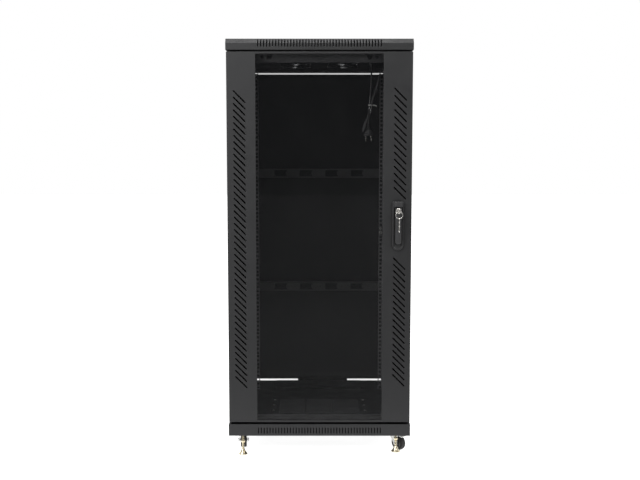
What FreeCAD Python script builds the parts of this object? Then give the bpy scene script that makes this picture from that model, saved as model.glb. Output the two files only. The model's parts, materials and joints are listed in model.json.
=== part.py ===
import FreeCAD, Part
import math
import os

# Free-standing network rack cabinet. Millimetres, +Z up, front towards -Y.
# Most places are given as a depth behind the front plane of the roof and plinth.

# ---- driving dimensions -------------------------------------------------
WIDTH = 600.0
DEPTH = 600.0
HEIGHT = 1364.0
SHEET = 1.5
U_HEIGHT = 44.45
U_COUNT = 27
RAIL_HOLE_X = 465.1 / 2
BAY_HALF = 225.0

PLINTH_Z0 = 70.0
PLINTH_Z1 = 109.0
PLINTH_REAR_Z1 = 97.0
CEILING_Z0 = 1327.0
ROOF_Z0 = CEILING_Z0 + SHEET
ROOF_BEVEL_RISE = 14.0
ROOF_BEVEL_RUN = 9.0

DOOR_HALF = 298.0
DOOR_Z0 = 117.0
DOOR_Z1 = 1322.0
DOOR_THICK = 18.0
GLASS_OPEN_HALF = 205.0
TRIM_TALL = 6.0
PIVOT_X = 290.0
PIVOT_IN = 10.0
PIN_R = 3.0
RUN_FIT = 0.06

REAR_DOOR_Z0 = 110.6
REAR_DOOR_Z1 = 1320.0

HANDLE_X = 253.7
HANDLE_Z0 = 687.0
HANDLE_Z1 = 846.0
SPINDLE_Z = 712.0
LOCK_Z = 816.0
BOW_D = -35.0
BOW_R = 11.0
BOW_HOLE_IN = 5.0
REAR_LOCK_PROUD = 6.0
REAR_LOCK_X = -258.0
REAR_LOCK_Z = 713.0

POST_IN = 258.0
POST_OUT = 291.5
FRONT_POST_D = (28.0, 88.0)
REAR_POST_D = (512.0, 572.0)
FRONT_RAIL_D = 62.0
REAR_RAIL_D = 420.0
RAIL_Z0 = 112.5
RAIL_Z1 = 1314.5
FAN_X = 85.0
FAN_D = 365.0
FOOT_X = 255.0
FOOT_D = 25.0
CASTER_X = 258.0
CASTER_D = 80.0
WHEEL_R = 25.0
WHEEL_TRAIL = 17.0
RAISED_FOOT = 9.0

# The whole outline, from the spare key to the rear lock, is centred on the origin.
KEY_PROUD = BOW_HOLE_IN + BOW_R - BOW_D
Y_FRONT = -(DEPTH + REAR_LOCK_PROUD - KEY_PROUD) / 2

os.makedirs("parts", exist_ok=True)


# ---- helpers ------------------------------------------------------------
def vec(x, depth, z):
    """A point from its depth behind the front plane."""
    return FreeCAD.Vector(x, Y_FRONT + depth, z)


def box(x0, x1, d0, d1, z0, z1):
    size = (abs(x1 - x0), abs(d1 - d0), abs(z1 - z0))
    return Part.makeBox(*size, vec(min(x0, x1), min(d0, d1), min(z0, z1)))


def cyl_z(x, d, z0, z1, r):
    return Part.makeCylinder(r, z1 - z0, vec(x, d, z0), FreeCAD.Vector(0, 0, 1))


def cyl_y(x, z, d0, d1, r):
    return Part.makeCylinder(r, d1 - d0, vec(x, d0, z), FreeCAD.Vector(0, 1, 0))


def cyl_x(x0, x1, d, z, r):
    return Part.makeCylinder(r, x1 - x0, vec(x0, d, z), FreeCAD.Vector(1, 0, 0))


def prism(points, direction):
    """Extrude a closed outline of vectors."""
    wire = Part.makePolygon(points + [points[0]])
    return Part.Face(wire).extrude(direction)


def prism_z(outline, z0, z1):
    """Extrude an outline of (x, depth) points upwards."""
    return prism([vec(x, d, z0) for x, d in outline], FreeCAD.Vector(0, 0, z1 - z0))


def prism_x(outline, x0, x1):
    """Extrude an outline of (depth, z) points along X."""
    return prism([vec(x0, d, z) for d, z in outline], FreeCAD.Vector(x1 - x0, 0, 0))


def revolve_z(outline, x, d):
    """Turn an outline of (radius, z) points about a vertical axis."""
    points = [FreeCAD.Vector(r, 0, z) for r, z in outline]
    face = Part.Face(Part.makePolygon(points + [points[0]]))
    solid = face.revolve(FreeCAD.Vector(0, 0, 0), FreeCAD.Vector(0, 0, 1), 360)
    solid.translate(vec(x, d, 0))
    return solid


def minus(solid, tools):
    return solid.cut(Part.makeCompound(tools))


def flats_x(x0, x1, *flats):
    """The flats of a sheet folded along X, each as (d0, d1, z0, z1), meeting edge to edge."""
    return [box(x0, x1, *flat) for flat in flats]


def flats_z(z0, z1, *flats):
    """The flats of a sheet folded along Z, each as (x0, x1, d0, d1), meeting edge to edge."""
    return [box(*flat, z0, z1) for flat in flats]


def mirror_x(shape):
    return shape.mirror(FreeCAD.Vector(0, 0, 0), FreeCAD.Vector(1, 0, 0))


def mirror_depth(shape):
    """The same shape, turned front to back about the middle of the depth."""
    return shape.mirror(vec(0, DEPTH / 2, 0), FreeCAD.Vector(0, 1, 0))


def hexagon(x, d, z0, z1, across):
    r = across / math.sqrt(3)
    turns = [math.radians(60 * i) for i in range(6)]
    return prism_z([(x + r * math.cos(t), d + r * math.sin(t)) for t in turns], z0, z1)


def rounded_plate(x0, x1, z0, z1, d0, d1, r):
    """An upright plate whose four corners are round."""
    plate = box(x0, x1, d0, d1, z0, z1)
    corners = [e for e in plate.Edges if abs(e.tangentAt(e.FirstParameter).y) > 0.99]
    return plate.makeFillet(r, corners)


def save(name, *solids):
    shape = solids[0] if len(solids) == 1 else Part.makeCompound(list(solids))
    shape.exportStep("parts/" + name + ".step")


# ---- plinth -------------------------------------------------------------
PLINTH_FLANGE = 52.0
SIDE_FLANGE = 38.0
FOOT_HOLE_R = 4.6
VENT_PITCH = 9.6
VENT_WIDTH = 3.6
CORNER_PLATE = (92.0, 135.0)
PAN_DEPTH = 92.0


def vent_slots(count, d0, d1, z0, z1):
    first = -VENT_PITCH * (count - 1) / 2
    centres = [first + VENT_PITCH * i for i in range(count)]
    return [box(x - VENT_WIDTH / 2, x + VENT_WIDTH / 2, d0, d1, z0, z1) for x in centres]


def plinth_front_bar():
    """An upright vented face, a flange above and below, a pan behind the vents and closed ends."""
    z0, z1, f, s, half = PLINTH_Z0, PLINTH_Z1, PLINTH_FLANGE, SHEET, WIDTH / 2
    face, low, top = flats_x(-half, half, (0, s, z0, z1), (s, f, z0, z0 + s), (s, f, z1 - s, z1))
    ends = [box(side * half, side * (half - s), s, f, z0 + s, z1 - s) for side in (-1, 1)]
    feet = [cyl_z(side * FOOT_X, FOOT_D, z0 - 1, z0 + 3, FOOT_HOLE_R) for side in (-1, 1)]
    pivot = cyl_z(-PIVOT_X, PIVOT_IN, z1 - 5, z1 + 1, PIN_R + RUN_FIT)
    pan = box(-half + CORNER_PLATE[0], half - CORNER_PLATE[0], f, PAN_DEPTH, z0, z0 + s)
    return [minus(face, vent_slots(43, -2, 4, 78, 98)), minus(low, feet), top.cut(pivot), pan] + ends


def plinth_rear_bar():
    """A lower vented bar between the side bars."""
    z0, z1, s, far = PLINTH_Z0, PLINTH_REAR_Z1, SHEET, DEPTH
    near, half = DEPTH - PLINTH_FLANGE, WIDTH / 2 - SIDE_FLANGE
    face, low, top = flats_x(-half, half, (far - s, far, z0, z1), (near, far - s, z0, z0 + s),
                             (near, far - s, z1 - s, z1))
    feet = [cyl_z(side * FOOT_X, DEPTH - FOOT_D, z0 - 1, z0 + 3, FOOT_HOLE_R)
            for side in (-1, 1)]
    return [minus(face, vent_slots(43, far - 4, far + 2, 76, 92)), minus(low, feet), top]


def plinth_side_bar():
    """Left bar, a channel that opens inwards, with a closed rear end."""
    xo, z0, z1, s = -WIDTH / 2, PLINTH_Z0, PLINTH_Z1, SHEET
    xi, near, far = -WIDTH / 2 + SIDE_FLANGE, PLINTH_FLANGE, DEPTH
    return [box(xo, xo + s, near, far, z0, z1), box(xo + s, xi, near, far, z0, z0 + s),
            box(xo + s, xi, near, far, z1 - s, z1),
            box(xo + s, xi, far - s, far, z0 + s, z1 - s)]


def corner_plates():
    """Flat plates inside the left bar that widen it above the casters."""
    wide, deep = CORNER_PLATE
    x0, x1 = -WIDTH / 2 + SIDE_FLANGE, -WIDTH / 2 + wide
    z0, z1 = PLINTH_Z0, PLINTH_Z0 + SHEET
    return [box(x0, x1, PLINTH_FLANGE, deep, z0, z1),
            box(x0, x1, DEPTH - deep, DEPTH - PLINTH_FLANGE, z0, z1)]


left_side = plinth_side_bar() + corner_plates()
rear_pivot = cyl_z(PIVOT_X, DEPTH - PIVOT_IN, PLINTH_Z1 - 5, PLINTH_Z1 + 1, PIN_R + RUN_FIT)
right_side = [mirror_x(flat).cut(rear_pivot) for flat in left_side]
save("plinth", *plinth_front_bar(), *plinth_rear_bar(), *left_side, *right_side)

# ---- frame --------------------------------------------------------------
POST_RETURN = 32.0


def frame_post(depths):
    """Left post: a face towards the door, an outer web and an inner return."""
    near, far = depths
    turn = 1 if near < DEPTH / 2 else -1
    face, back = (near, far) if turn > 0 else (far, near)
    s, xo, xi = SHEET, -POST_OUT, -POST_IN
    behind = face + turn * s
    return flats_z(PLINTH_Z1, CEILING_Z0, (xo, xi, face, behind), (xo, xo + s, behind, back),
                   (xi - s, xi, behind, face + turn * POST_RETURN))


left_posts = frame_post(FRONT_POST_D) + frame_post(REAR_POST_D)
save("frame_posts", *left_posts, *[mirror_x(flat) for flat in left_posts])

BEAM_D = (40.0, 58.0)
TOP_BEAM_Z = (1294.0, 1321.0)
BOTTOM_BEAM_Z = (PLINTH_Z1, 126.0)
BEAM_HOLES = ((163.0, 8.0), (185.5, 5.5))
BEAM_HOLE_Z = 1311.0
REAR_BEAM_D = (540.0, 572.0)
REAR_BEAM_Z0 = 1324.5


def front_beam(z0, z1):
    (d0, d1), s = BEAM_D, SHEET
    return flats_x(-POST_IN, POST_IN, (d0, d0 + s, z0, z1), (d0 + s, d1, z0, z0 + s),
                   (d0 + s, d1, z1 - s, z1))


beam_cuts = []
for x, r in BEAM_HOLES:
    beam_cuts += [cyl_y(side * x, BEAM_HOLE_Z, BEAM_D[0] - 1, BEAM_D[0] + 4, r) for side in (-1, 1)]
top_face, *top_flanges = front_beam(*TOP_BEAM_Z)
rear_beam = box(-POST_IN, POST_IN, *REAR_BEAM_D, REAR_BEAM_Z0, CEILING_Z0)
save("frame_beams", minus(top_face, beam_cuts), *top_flanges, *front_beam(*BOTTOM_BEAM_Z), rear_beam)

SIDE_BEAM_IN = 268.0


def side_beam(z0, z1, flange_z):
    """Left fore-and-aft beam between the posts, an angle of folded sheet."""
    xo, s = -POST_OUT + SHEET, SHEET
    ends = (FRONT_POST_D[1], REAR_POST_D[0])
    return [box(xo, xo + s, *ends, z0, z1), box(xo + s, -SIDE_BEAM_IN, *ends, flange_z, flange_z + s)]


left_beams = side_beam(PLINTH_Z1, 134.0, PLINTH_Z1) + side_beam(1302.0, CEILING_Z0, CEILING_Z0 - SHEET)
save("frame_side_beams", *left_beams, *[mirror_x(flat) for flat in left_beams])

# ---- 19-inch rails and what carries them --------------------------------
RAIL_FACE = 20.0
RAIL_SIDE = 30.0
SQUARE_HOLE = 9.5
RAIL_SHEET = 2.0
HOLE_STEPS = (6.35, 22.225, 38.1)
U_BASE = (RAIL_Z0 + RAIL_Z1 - U_COUNT * U_HEIGHT) / 2
BRACKET_X = (245.0, 257.0)
BRACKET_HALF = 11.0
BRACKET_Z = (150.0, 713.0, 1276.0)


def mounting_rail(face_d, turn):
    """Left rail: a face with three square holes a unit and a side flange."""
    s, xi, xo = RAIL_SHEET, -BAY_HALF, -BAY_HALF - RAIL_FACE
    behind = face_d + turn * s
    face, flange = flats_z(RAIL_Z0, RAIL_Z1, (xo, xi, face_d, behind),
                           (xo, xo + s, behind, face_d + turn * RAIL_SIDE))
    half = SQUARE_HOLE / 2
    squares = []
    rounds = []
    for unit in range(U_COUNT):
        for step in HOLE_STEPS:
            z = U_BASE + unit * U_HEIGHT + step
            squares.append(box(-RAIL_HOLE_X - half, -RAIL_HOLE_X + half,
                               face_d - 1 - s, face_d + 1 + s, z - half, z + half))
        z = U_BASE + (unit + 0.5) * U_HEIGHT
        rounds.append(cyl_x(xo - 1, xo + s + 1, face_d + turn * 17, z, 3.2))
    return [minus(face, squares), minus(flange, rounds)]


front_rail = mounting_rail(FRONT_RAIL_D, 1)
rear_rail = mounting_rail(REAR_RAIL_D, -1)
save("mounting_rail_front_left", *front_rail)
save("mounting_rail_front_right", *[mirror_x(flat) for flat in front_rail])
save("mounting_rail_rear_left", *rear_rail)
save("mounting_rail_rear_right", *[mirror_x(flat) for flat in rear_rail])


def depth_bracket(z):
    """Left channel from the front post to the rear post, with a tab at each post."""
    xi, xo = -BRACKET_X[0], -BRACKET_X[1]
    z0, z1, s = z - BRACKET_HALF, z + BRACKET_HALF, SHEET
    ends = (FRONT_RAIL_D, REAR_POST_D[1] - 1)
    tabs = [box(xo, -POST_IN, d0, d0 + 24, z0, z0 + s) for d0 in (ends[0], REAR_POST_D[0] + 15)]
    return [box(xi - s, xi, *ends, z0, z1), box(xo, xi - s, *ends, z0, z0 + s),
            box(xo, xi - s, *ends, z1 - s, z1)] + tabs


brackets = [flat for z in BRACKET_Z for flat in depth_bracket(z)]
save("depth_brackets", *brackets, *[mirror_x(flat) for flat in brackets])


def rail_screw(x_face, d, z, side):
    """Pan head on the inner face of a rail's side flange."""
    head = cyl_x(0, 3.0, d, z, 4.5)
    cross = box(1.8, 3.2, d - 2.6, d + 2.6, z - 0.5, z + 0.5)
    screw = head.cut(cross)
    screw.translate(FreeCAD.Vector(-x_face, 0, 0))
    return screw if side < 0 else mirror_x(screw)


sheet_screws = []
for side in (-1, 1):
    for d in (FRONT_RAIL_D + 8, REAR_RAIL_D - 8):
        x = BAY_HALF + RAIL_FACE - RAIL_SHEET
        sheet_screws += [rail_screw(x, d, z, side) for z in BRACKET_Z]


def cage_fastener(z):
    """Screw, washer and caged nut in a square hole of the rear right rail."""
    d = REAR_RAIL_D - RAIL_SHEET
    head = cyl_y(RAIL_HOLE_X, z, d - 4.2, d - 1.2, 5.0)
    washer = cyl_y(RAIL_HOLE_X, z, d - 1.2, d, 6.4)
    nut = box(RAIL_HOLE_X - 4.4, RAIL_HOLE_X + 4.4, d, d + 5, z - 4.4, z + 4.4)
    slot = box(RAIL_HOLE_X - 3.2, RAIL_HOLE_X + 3.2, d - 5, d - 3, z - 0.6, z + 0.6)
    return head.fuse([washer, nut]).cut(slot)


NUT_UNIT = 13
save("cage_nuts", *[cage_fastener(U_BASE + NUT_UNIT * U_HEIGHT + s) for s in HOLE_STEPS[1:]])

# ---- cable lacing bars --------------------------------------------------
LACING_D = (556.0, 572.0)
LACING_HALF_TALL = 18.0
LACING_Z = (936.0, 490.0)
WINDOW = (49.0, 24.0)
WINDOW_PITCH = 100.0


def lacing_bar(z):
    """Bar across the rear posts with lanced bridges in its windows."""
    d0, d1 = LACING_D
    z0, z1 = z - LACING_HALF_TALL, z + LACING_HALF_TALL
    face, lip = flats_x(-POST_IN, POST_IN, (d0, d0 + SHEET, z0, z1), (d0 + SHEET, d1, z1 - SHEET, z1))
    cuts = []
    tabs = []
    for i in range(-3, 3):
        x = (i + 0.5) * WINDOW_PITCH
        if abs(x) > POST_IN - WINDOW[0] / 2:
            continue
        x0, x1 = x - WINDOW[0] / 2, x + WINDOW[0] / 2
        cuts.append(box(x0, x1, d0 - 1, d0 + 3, z - WINDOW[1] / 2, z + WINDOW[1] / 2))
        tabs.append(box(x0 - SHEET, x0, d0, d0 + 9, z - WINDOW[1] / 2 + 2, z + WINDOW[1] / 2 - 2))
        tabs.append(box(x1 - 4, x1, d0, d0 + SHEET, z - 6, z + 6))
    return [minus(face, cuts).fuse(tabs).removeSplitter(), lip]


save("lacing_bars", *[flat for z in LACING_Z for flat in lacing_bar(z)])

# ---- roof ---------------------------------------------------------------
ROOF_VENT_Z = (1337.5, 1361.0)
ROOF_VENT_REACH = 9.5


def roof_front():
    """The front face of the roof and the slope above it, with slots through both."""
    s, knee, run = SHEET, HEIGHT - ROOF_BEVEL_RISE, ROOF_BEVEL_RUN
    face = prism_x([(0, ROOF_Z0), (0, knee), (s, knee - s), (s, ROOF_Z0)], -WIDTH / 2, WIDTH / 2)
    slope = prism_x([(0, knee), (run, HEIGHT), (run + s, HEIGHT - s), (s, knee - s)],
                    -WIDTH / 2, WIDTH / 2)
    slots = vent_slots(42, -2, -2 + ROOF_VENT_REACH, *ROOF_VENT_Z)
    return [minus(face, slots), minus(slope, slots)]


def roof_end():
    """Left end plate, inside the edges of the other flats."""
    s, knee, run, top = SHEET, HEIGHT - ROOF_BEVEL_RISE - SHEET, ROOF_BEVEL_RUN, HEIGHT - SHEET
    outline = [(s, ROOF_Z0), (s, knee), (run + s, top), (DEPTH - run - s, top),
               (DEPTH - s, knee), (DEPTH - s, ROOF_Z0)]
    return prism_x(outline, -WIDTH / 2, -WIDTH / 2 + s)


roof_top = prism_x([(ROOF_BEVEL_RUN, HEIGHT), (DEPTH - ROOF_BEVEL_RUN, HEIGHT),
                    (DEPTH - ROOF_BEVEL_RUN - SHEET, HEIGHT - SHEET),
                    (ROOF_BEVEL_RUN + SHEET, HEIGHT - SHEET)], -WIDTH / 2, WIDTH / 2)
save("roof_cover", roof_top, *roof_front(), *[mirror_depth(flat) for flat in roof_front()],
     roof_end(), mirror_x(roof_end()))

GLAND = (186.0, 300.0)
ceiling = box(-WIDTH / 2 + 1, WIDTH / 2 - 1, 1, DEPTH - 1, CEILING_Z0, ROOF_Z0)
ceiling_cuts = [cyl_z(side * FAN_X, FAN_D, CEILING_Z0 - 1, ROOF_Z0 + 1, 57) for side in (-1, 1)]
ceiling_cuts.append(cyl_z(GLAND[0], GLAND[1], CEILING_Z0 - 1, ROOF_Z0 + 1, 6))
ceiling_cuts.append(cyl_z(-PIVOT_X, PIVOT_IN, CEILING_Z0 - 1, ROOF_Z0 + 1, PIN_R + RUN_FIT))
ceiling_cuts.append(cyl_z(PIVOT_X, DEPTH - PIVOT_IN, CEILING_Z0 - 1, ROOF_Z0 + 1, PIN_R + RUN_FIT))
save("ceiling_plate", minus(ceiling, ceiling_cuts))

# ---- roof fans ----------------------------------------------------------
FAN_HALF = 60.0
FAN_BORE = 55.0
FAN_Z = (ROOF_Z0, ROOF_Z0 + 25.0)
FAN_SCREW = 52.5
SHAFT_R = 3.0
ROTOR_HUB_R = 20.0
BLADE_TIP = 52.5
BLADES = 7
ROTOR_Z = (FAN_Z[0] + 2.5, FAN_Z[0] + 19.0)


def fan_housing(x):
    z0, z1 = FAN_Z
    body = box(x - FAN_HALF, x + FAN_HALF, FAN_D - FAN_HALF, FAN_D + FAN_HALF, z0, z1)
    upright = [e for e in body.Edges if abs(e.tangentAt(e.FirstParameter).z) > 0.99]
    body = body.makeFillet(5.0, upright)
    cuts = [cyl_z(x, FAN_D, z0 - 1, z1 + 1, FAN_BORE)]
    for sx in (-1, 1):
        for sd in (-1, 1):
            cuts.append(cyl_z(x + sx * FAN_SCREW, FAN_D + sd * FAN_SCREW, z0 - 1, z1 + 1, 2.2))
    body = minus(body, cuts)
    boss = cyl_z(x, FAN_D, z1 - 3, z1, 19)
    shaft = cyl_z(x, FAN_D, ROTOR_Z[0] + 3, z1 - 2, SHAFT_R)
    struts = [boss, shaft]
    for i in range(4):
        strut = box(x + 15, x + FAN_BORE + 2, FAN_D - 2, FAN_D + 2, z1 - 3, z1)
        strut.rotate(vec(x, FAN_D, 0), FreeCAD.Vector(0, 0, 1), 45 + 90 * i)
        struts.append(strut)
    return body.fuse(struts).removeSplitter()


def fan_rotor(x):
    z0, z1 = ROTOR_Z
    hub = cyl_z(x, FAN_D, z0, z1, ROTOR_HUB_R)
    blades = []
    for i in range(BLADES):
        blade = box(x + ROTOR_HUB_R - 3, x + BLADE_TIP - 3.5, FAN_D - 14, FAN_D + 14,
                    z0 + 7.2, z0 + 8.8)
        blade.rotate(vec(x, FAN_D, z0 + 8), FreeCAD.Vector(1, 0, 0), 26)
        blade.rotate(vec(x, FAN_D, z0 + 8), FreeCAD.Vector(0, 0, 1), 360 * i / BLADES)
        blades.append(blade)
    sweep = cyl_z(x, FAN_D, z0, z1, BLADE_TIP)
    rotor = hub.fuse([b.common(sweep) for b in blades])
    return rotor.cut(cyl_z(x, FAN_D, z0 + 2.7, z1 + 1, SHAFT_R + RUN_FIT))


def fan_guard(x):
    """Round wire rings on four spokes that end in eyes for the fan screws."""
    z_ring, z_spoke, wire = CEILING_Z0 - 3.0, CEILING_Z0 - 1.2, 1.1
    rings = []
    for r in (14.0, 24.0, 34.0, 44.0, 54.0):
        rings.append(Part.makeTorus(r, wire, vec(x, FAN_D, z_ring), FreeCAD.Vector(0, 0, 1)))
    parts = []
    for i in range(4):
        reach = FAN_SCREW * math.sqrt(2) - 3
        spoke = Part.makeCylinder(wire, reach - 9, vec(x + 9, FAN_D, z_spoke),
                                  FreeCAD.Vector(1, 0, 0))
        eye = cyl_z(x + reach + 3, FAN_D, z_spoke - wire, z_spoke + wire, 4.6)
        eye = eye.cut(cyl_z(x + reach + 3, FAN_D, z_spoke - 2, z_spoke + 2, 2.2))
        arm = spoke.fuse(eye)
        arm.rotate(vec(x, FAN_D, 0), FreeCAD.Vector(0, 0, 1), 45 + 90 * i)
        parts.append(arm)
    return parts[0].fuse(parts[1:] + rings)


save("fan_housings", fan_housing(-FAN_X), fan_housing(FAN_X))
save("fan_guards", fan_guard(-FAN_X), fan_guard(FAN_X))
save("fan_rotor_left", fan_rotor(-FAN_X))
save("fan_rotor_right", fan_rotor(FAN_X))

# ---- floor --------------------------------------------------------------
FLOOR_Z = PLINTH_Z1 + SHEET
COVER_D = (92.0, 316.0)
COVER_HALF = 172.0
ENTRY_HALF = 150.0
ENTRY_D = (430.0, 546.0)
SLIDER_D = (424.4, 552.0)
SLIDER_HALF = 166.0

FLOOR_D = (60.0, 556.0)
WELL_D = (COVER_D[0] + 20, COVER_D[1] - 16)
KERB_X = (-83.0, 113.0)
KERB_TALL = 13.0


def floor_strip(x0, x1, d0, d1):
    return box(x0, x1, d0, d1, PLINTH_Z1, FLOOR_Z)


# Strips of floor sheet round the vented well in front and the cable entry, and a kerb at the rear.
save("floor_plate",
     floor_strip(-POST_IN + 1, -ENTRY_HALF, *FLOOR_D),
     floor_strip(ENTRY_HALF, POST_IN - 1, *FLOOR_D),
     floor_strip(-ENTRY_HALF, ENTRY_HALF, FLOOR_D[0], WELL_D[0]),
     floor_strip(-ENTRY_HALF, ENTRY_HALF, WELL_D[1], ENTRY_D[0]),
     floor_strip(-ENTRY_HALF, ENTRY_HALF, ENTRY_D[1], FLOOR_D[1]),
     box(*KERB_X, FLOOR_D[1] - SHEET, FLOOR_D[1], FLOOR_Z, FLOOR_Z + KERB_TALL))

cover = box(-COVER_HALF, COVER_HALF, COVER_D[0], COVER_D[1], FLOOR_Z, FLOOR_Z + SHEET)
louvres = []
for row in range(12):
    d = COVER_D[0] + 30 + row * 14.4
    for x0, x1 in ((-140, -50), (-45, 45), (50, 140)):
        louvres.append(box(x0, x1, d, d + 5, FLOOR_Z - 1, FLOOR_Z + 4))
save("floor_vent_cover", minus(cover, louvres))

slider = box(-SLIDER_HALF, SLIDER_HALF, *SLIDER_D, FLOOR_Z + 0.3, FLOOR_Z + 0.3 + SHEET)
lip = box(-SLIDER_HALF, SLIDER_HALF, SLIDER_D[0], SLIDER_D[0] + SHEET, FLOOR_Z + 0.3 + SHEET,
          FLOOR_Z + 10)
save("cable_entry_slider", slider, lip)

for x in (-160, 160):
    for d in (142, 206, 271):
        top = FLOOR_Z + SHEET
        head = cyl_z(x, d, top, top + 2.6, 4.5)
        slot = box(x - 3, x + 3, d - 0.6, d + 0.6, top + 1.4, top + 3)
        sheet_screws.append(head.cut(slot))
save("sheet_screws", *sheet_screws)

# ---- side panels --------------------------------------------------------
PANEL_X = (292.5, 299.0)
PANEL_D = (26.0, 576.0)
PANEL_Z = (114.0, 1324.0)
SIDE_LOCK_D = 300.0
SIDE_LOCK_Z = 1284.0
SIDE_LOCK_R = 9.0


def lock_plug(r, head_r, head_thick, length, cam_reach):
    """A quarter-turn lock along +X from its outer face, with a slot and a cam."""
    head = cyl_x(0, head_thick, 0, 0, head_r)
    barrel = cyl_x(head_thick, length, 0, 0, r)
    cam = box(length - 2.5, length, -6, 6, -r + 1, cam_reach)
    slot = box(-1, 1.4, -0.8, 0.8, -head_r + 3, head_r - 3)
    plug = head.fuse([barrel, cam]).cut(slot)
    plug.translate(FreeCAD.Vector(0, -Y_FRONT, 0))
    return plug


def side_panel():
    """Left panel: a skin, four returns along its edges and two ribs."""
    xo, xi, s = -PANEL_X[1], -PANEL_X[0], SHEET
    (d0, d1), (z0, z1) = PANEL_D, PANEL_Z
    skin = box(xo, xo + s, d0, d1, z0, z1)
    bore = cyl_x(xo - 1, xi + 1, SIDE_LOCK_D, SIDE_LOCK_Z, SIDE_LOCK_R + RUN_FIT)
    recess = cyl_x(xo - 1, xo + 0.8, SIDE_LOCK_D, SIDE_LOCK_Z, 13)
    returns = [box(xo + s, xi, d0, d0 + s, z0, z1), box(xo + s, xi, d1 - s, d1, z0, z1),
               box(xo + s, xi, d0 + s, d1 - s, z0, z0 + s),
               box(xo + s, xi, d0 + s, d1 - s, z1 - s, z1)]
    ribs = [box(xo + s, xi - 1, SIDE_LOCK_D - 20, SIDE_LOCK_D + 20, z - 8, z + 8)
            for z in (420.0, 1000.0)]
    return [minus(skin, [bore, recess])] + returns + ribs


def side_lock():
    plug = lock_plug(SIDE_LOCK_R, 11.0, 1.6, 14.0, 15.0)
    plug.translate(vec(-PANEL_X[1] - 0.9, SIDE_LOCK_D, SIDE_LOCK_Z))
    return plug


panel_left = side_panel()
save("side_panel_left", *panel_left)
save("side_panel_right", *[mirror_x(flat) for flat in panel_left])
lock_left = side_lock()
save("side_lock_left", lock_left)
save("side_lock_right", mirror_x(lock_left))

# ---- front door ---------------------------------------------------------
SLANT_SLOT = 57.0
SLANT_WIDE = 5.0
GLASS_D = (2.0, 6.0)
GLASS_HALF = 216.0
LEFT_SLOTS = ((-256.5, 1180.0, 20.2, 47),)
RIGHT_SLOTS = ((259.5, 1188.0, 22.55, 15), (259.5, 643.0, 20.3, 20))
HANDLE_BORE = 7.0


def slanted_slots(groups):
    """Round-ended slots at 45 degrees, falling towards the right."""
    cuts = []
    half = SLANT_SLOT / 2 - SLANT_WIDE / 2
    for x, top, pitch, count in groups:
        for i in range(count):
            z = top - pitch * i
            slot = box(x - half, x + half, -3, 4, z - SLANT_WIDE / 2, z + SLANT_WIDE / 2)
            ends = [cyl_y(x + e * half, z, -3, 4, SLANT_WIDE / 2) for e in (-1, 1)]
            slot = slot.fuse(ends).removeSplitter()
            slot.rotate(vec(x, 0, z), FreeCAD.Vector(0, 1, 0), 45)
            cuts.append(slot)
    return cuts


def door_strip(side, cuts):
    """Perforated stile: a face, an outer return and a fold across each end."""
    xo, xi, s = side * DOOR_HALF, side * GLASS_OPEN_HALF, side * SHEET
    z0, z1 = DOOR_Z0, DOOR_Z1
    face, edge = flats_z(z0, z1, (xo, xi, 0, SHEET), (xo, xo - s, SHEET, DOOR_THICK))
    folds = flats_x(xo - s, xi, (SHEET, DOOR_THICK, z0, z0 + SHEET), (SHEET, DOOR_THICK, z1 - SHEET, z1))
    if side < 0:
        bore = cyl_z(-PIVOT_X, PIVOT_IN, z0 - 2, z1 + 2, PIN_R)
        folds = [fold.cut(bore) for fold in folds]
    return [minus(face, cuts), edge] + folds


save("door_stile_left", *door_strip(-1, slanted_slots(LEFT_SLOTS)))
right_cuts = slanted_slots(RIGHT_SLOTS) + [cyl_y(HANDLE_X, SPINDLE_Z, -1, 3, HANDLE_BORE)]
save("door_stile_right", *door_strip(1, right_cuts))


def door_trim(z_edge, turn):
    """Narrow folded rail between the stiles, above or below the glass."""
    tall, s = turn * TRIM_TALL, turn * SHEET
    return flats_x(-GLASS_OPEN_HALF, GLASS_OPEN_HALF, (0, SHEET, z_edge, z_edge + tall),
                   (SHEET, DOOR_THICK, z_edge, z_edge + s))


save("door_trims", *door_trim(DOOR_Z1, -1), *door_trim(DOOR_Z0, 1))

GLASS_Z = (DOOR_Z0 + 3, DOOR_Z1 - 3)
save("door_glass", box(-GLASS_HALF, GLASS_HALF, *GLASS_D, *GLASS_Z))
tape = []
for side in (-1, 1):
    tape.append(box(side * (GLASS_OPEN_HALF + 1), side * GLASS_HALF, SHEET, GLASS_D[0], *GLASS_Z))
for z0 in (GLASS_Z[0], DOOR_Z1 - TRIM_TALL):
    tape.append(box(-GLASS_OPEN_HALF, GLASS_OPEN_HALF, SHEET, GLASS_D[0], z0, z0 + 3))
save("glass_tape", *tape)


def hinge_pin(x, d, z_door, turn, reach):
    """A pin with its block in the corner of a door."""
    tip = z_door + turn * reach
    root = z_door - turn * 24
    pin = cyl_z(x, d, min(root, tip), max(root, tip), PIN_R)
    block_far = x + math.copysign(6.4, x)
    to_skin = 8.5 if d > DEPTH / 2 else -8.5
    block = box(x - math.copysign(14, x), block_far, d - to_skin * 0.7, d + to_skin,
                z_door - turn * 5, z_door - turn * 22)
    return block.fuse(pin).removeSplitter()


save("door_hinge_pins", hinge_pin(-PIVOT_X, PIVOT_IN, DOOR_Z1, 1, 6.2),
     hinge_pin(-PIVOT_X, PIVOT_IN, DOOR_Z0, -1, 9.2))

# ---- swing handle -------------------------------------------------------
BASE_HALF = 18.0
BASE_PROUD = 7.0
POCKET_FLOOR = 4.0
LEVER_HALF = 10.0
LEVER_D = (-20.0, -7.4)
LEVER_Z = (707.0, 826.0)
SPINDLE_R = 5.0
YOKE_D = -13.0
CAM_D = (20.0, 22.5)
BARREL_R = 7.0


def round_bottom(half, z0, z1, d0, d1):
    """An upright bar with a half-round lower end."""
    low = z0 + half
    return box(HANDLE_X - half, HANDLE_X + half, d0, d1, low, z1).fuse(
        cyl_y(HANDLE_X, low, d0, d1, half)).removeSplitter()


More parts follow.
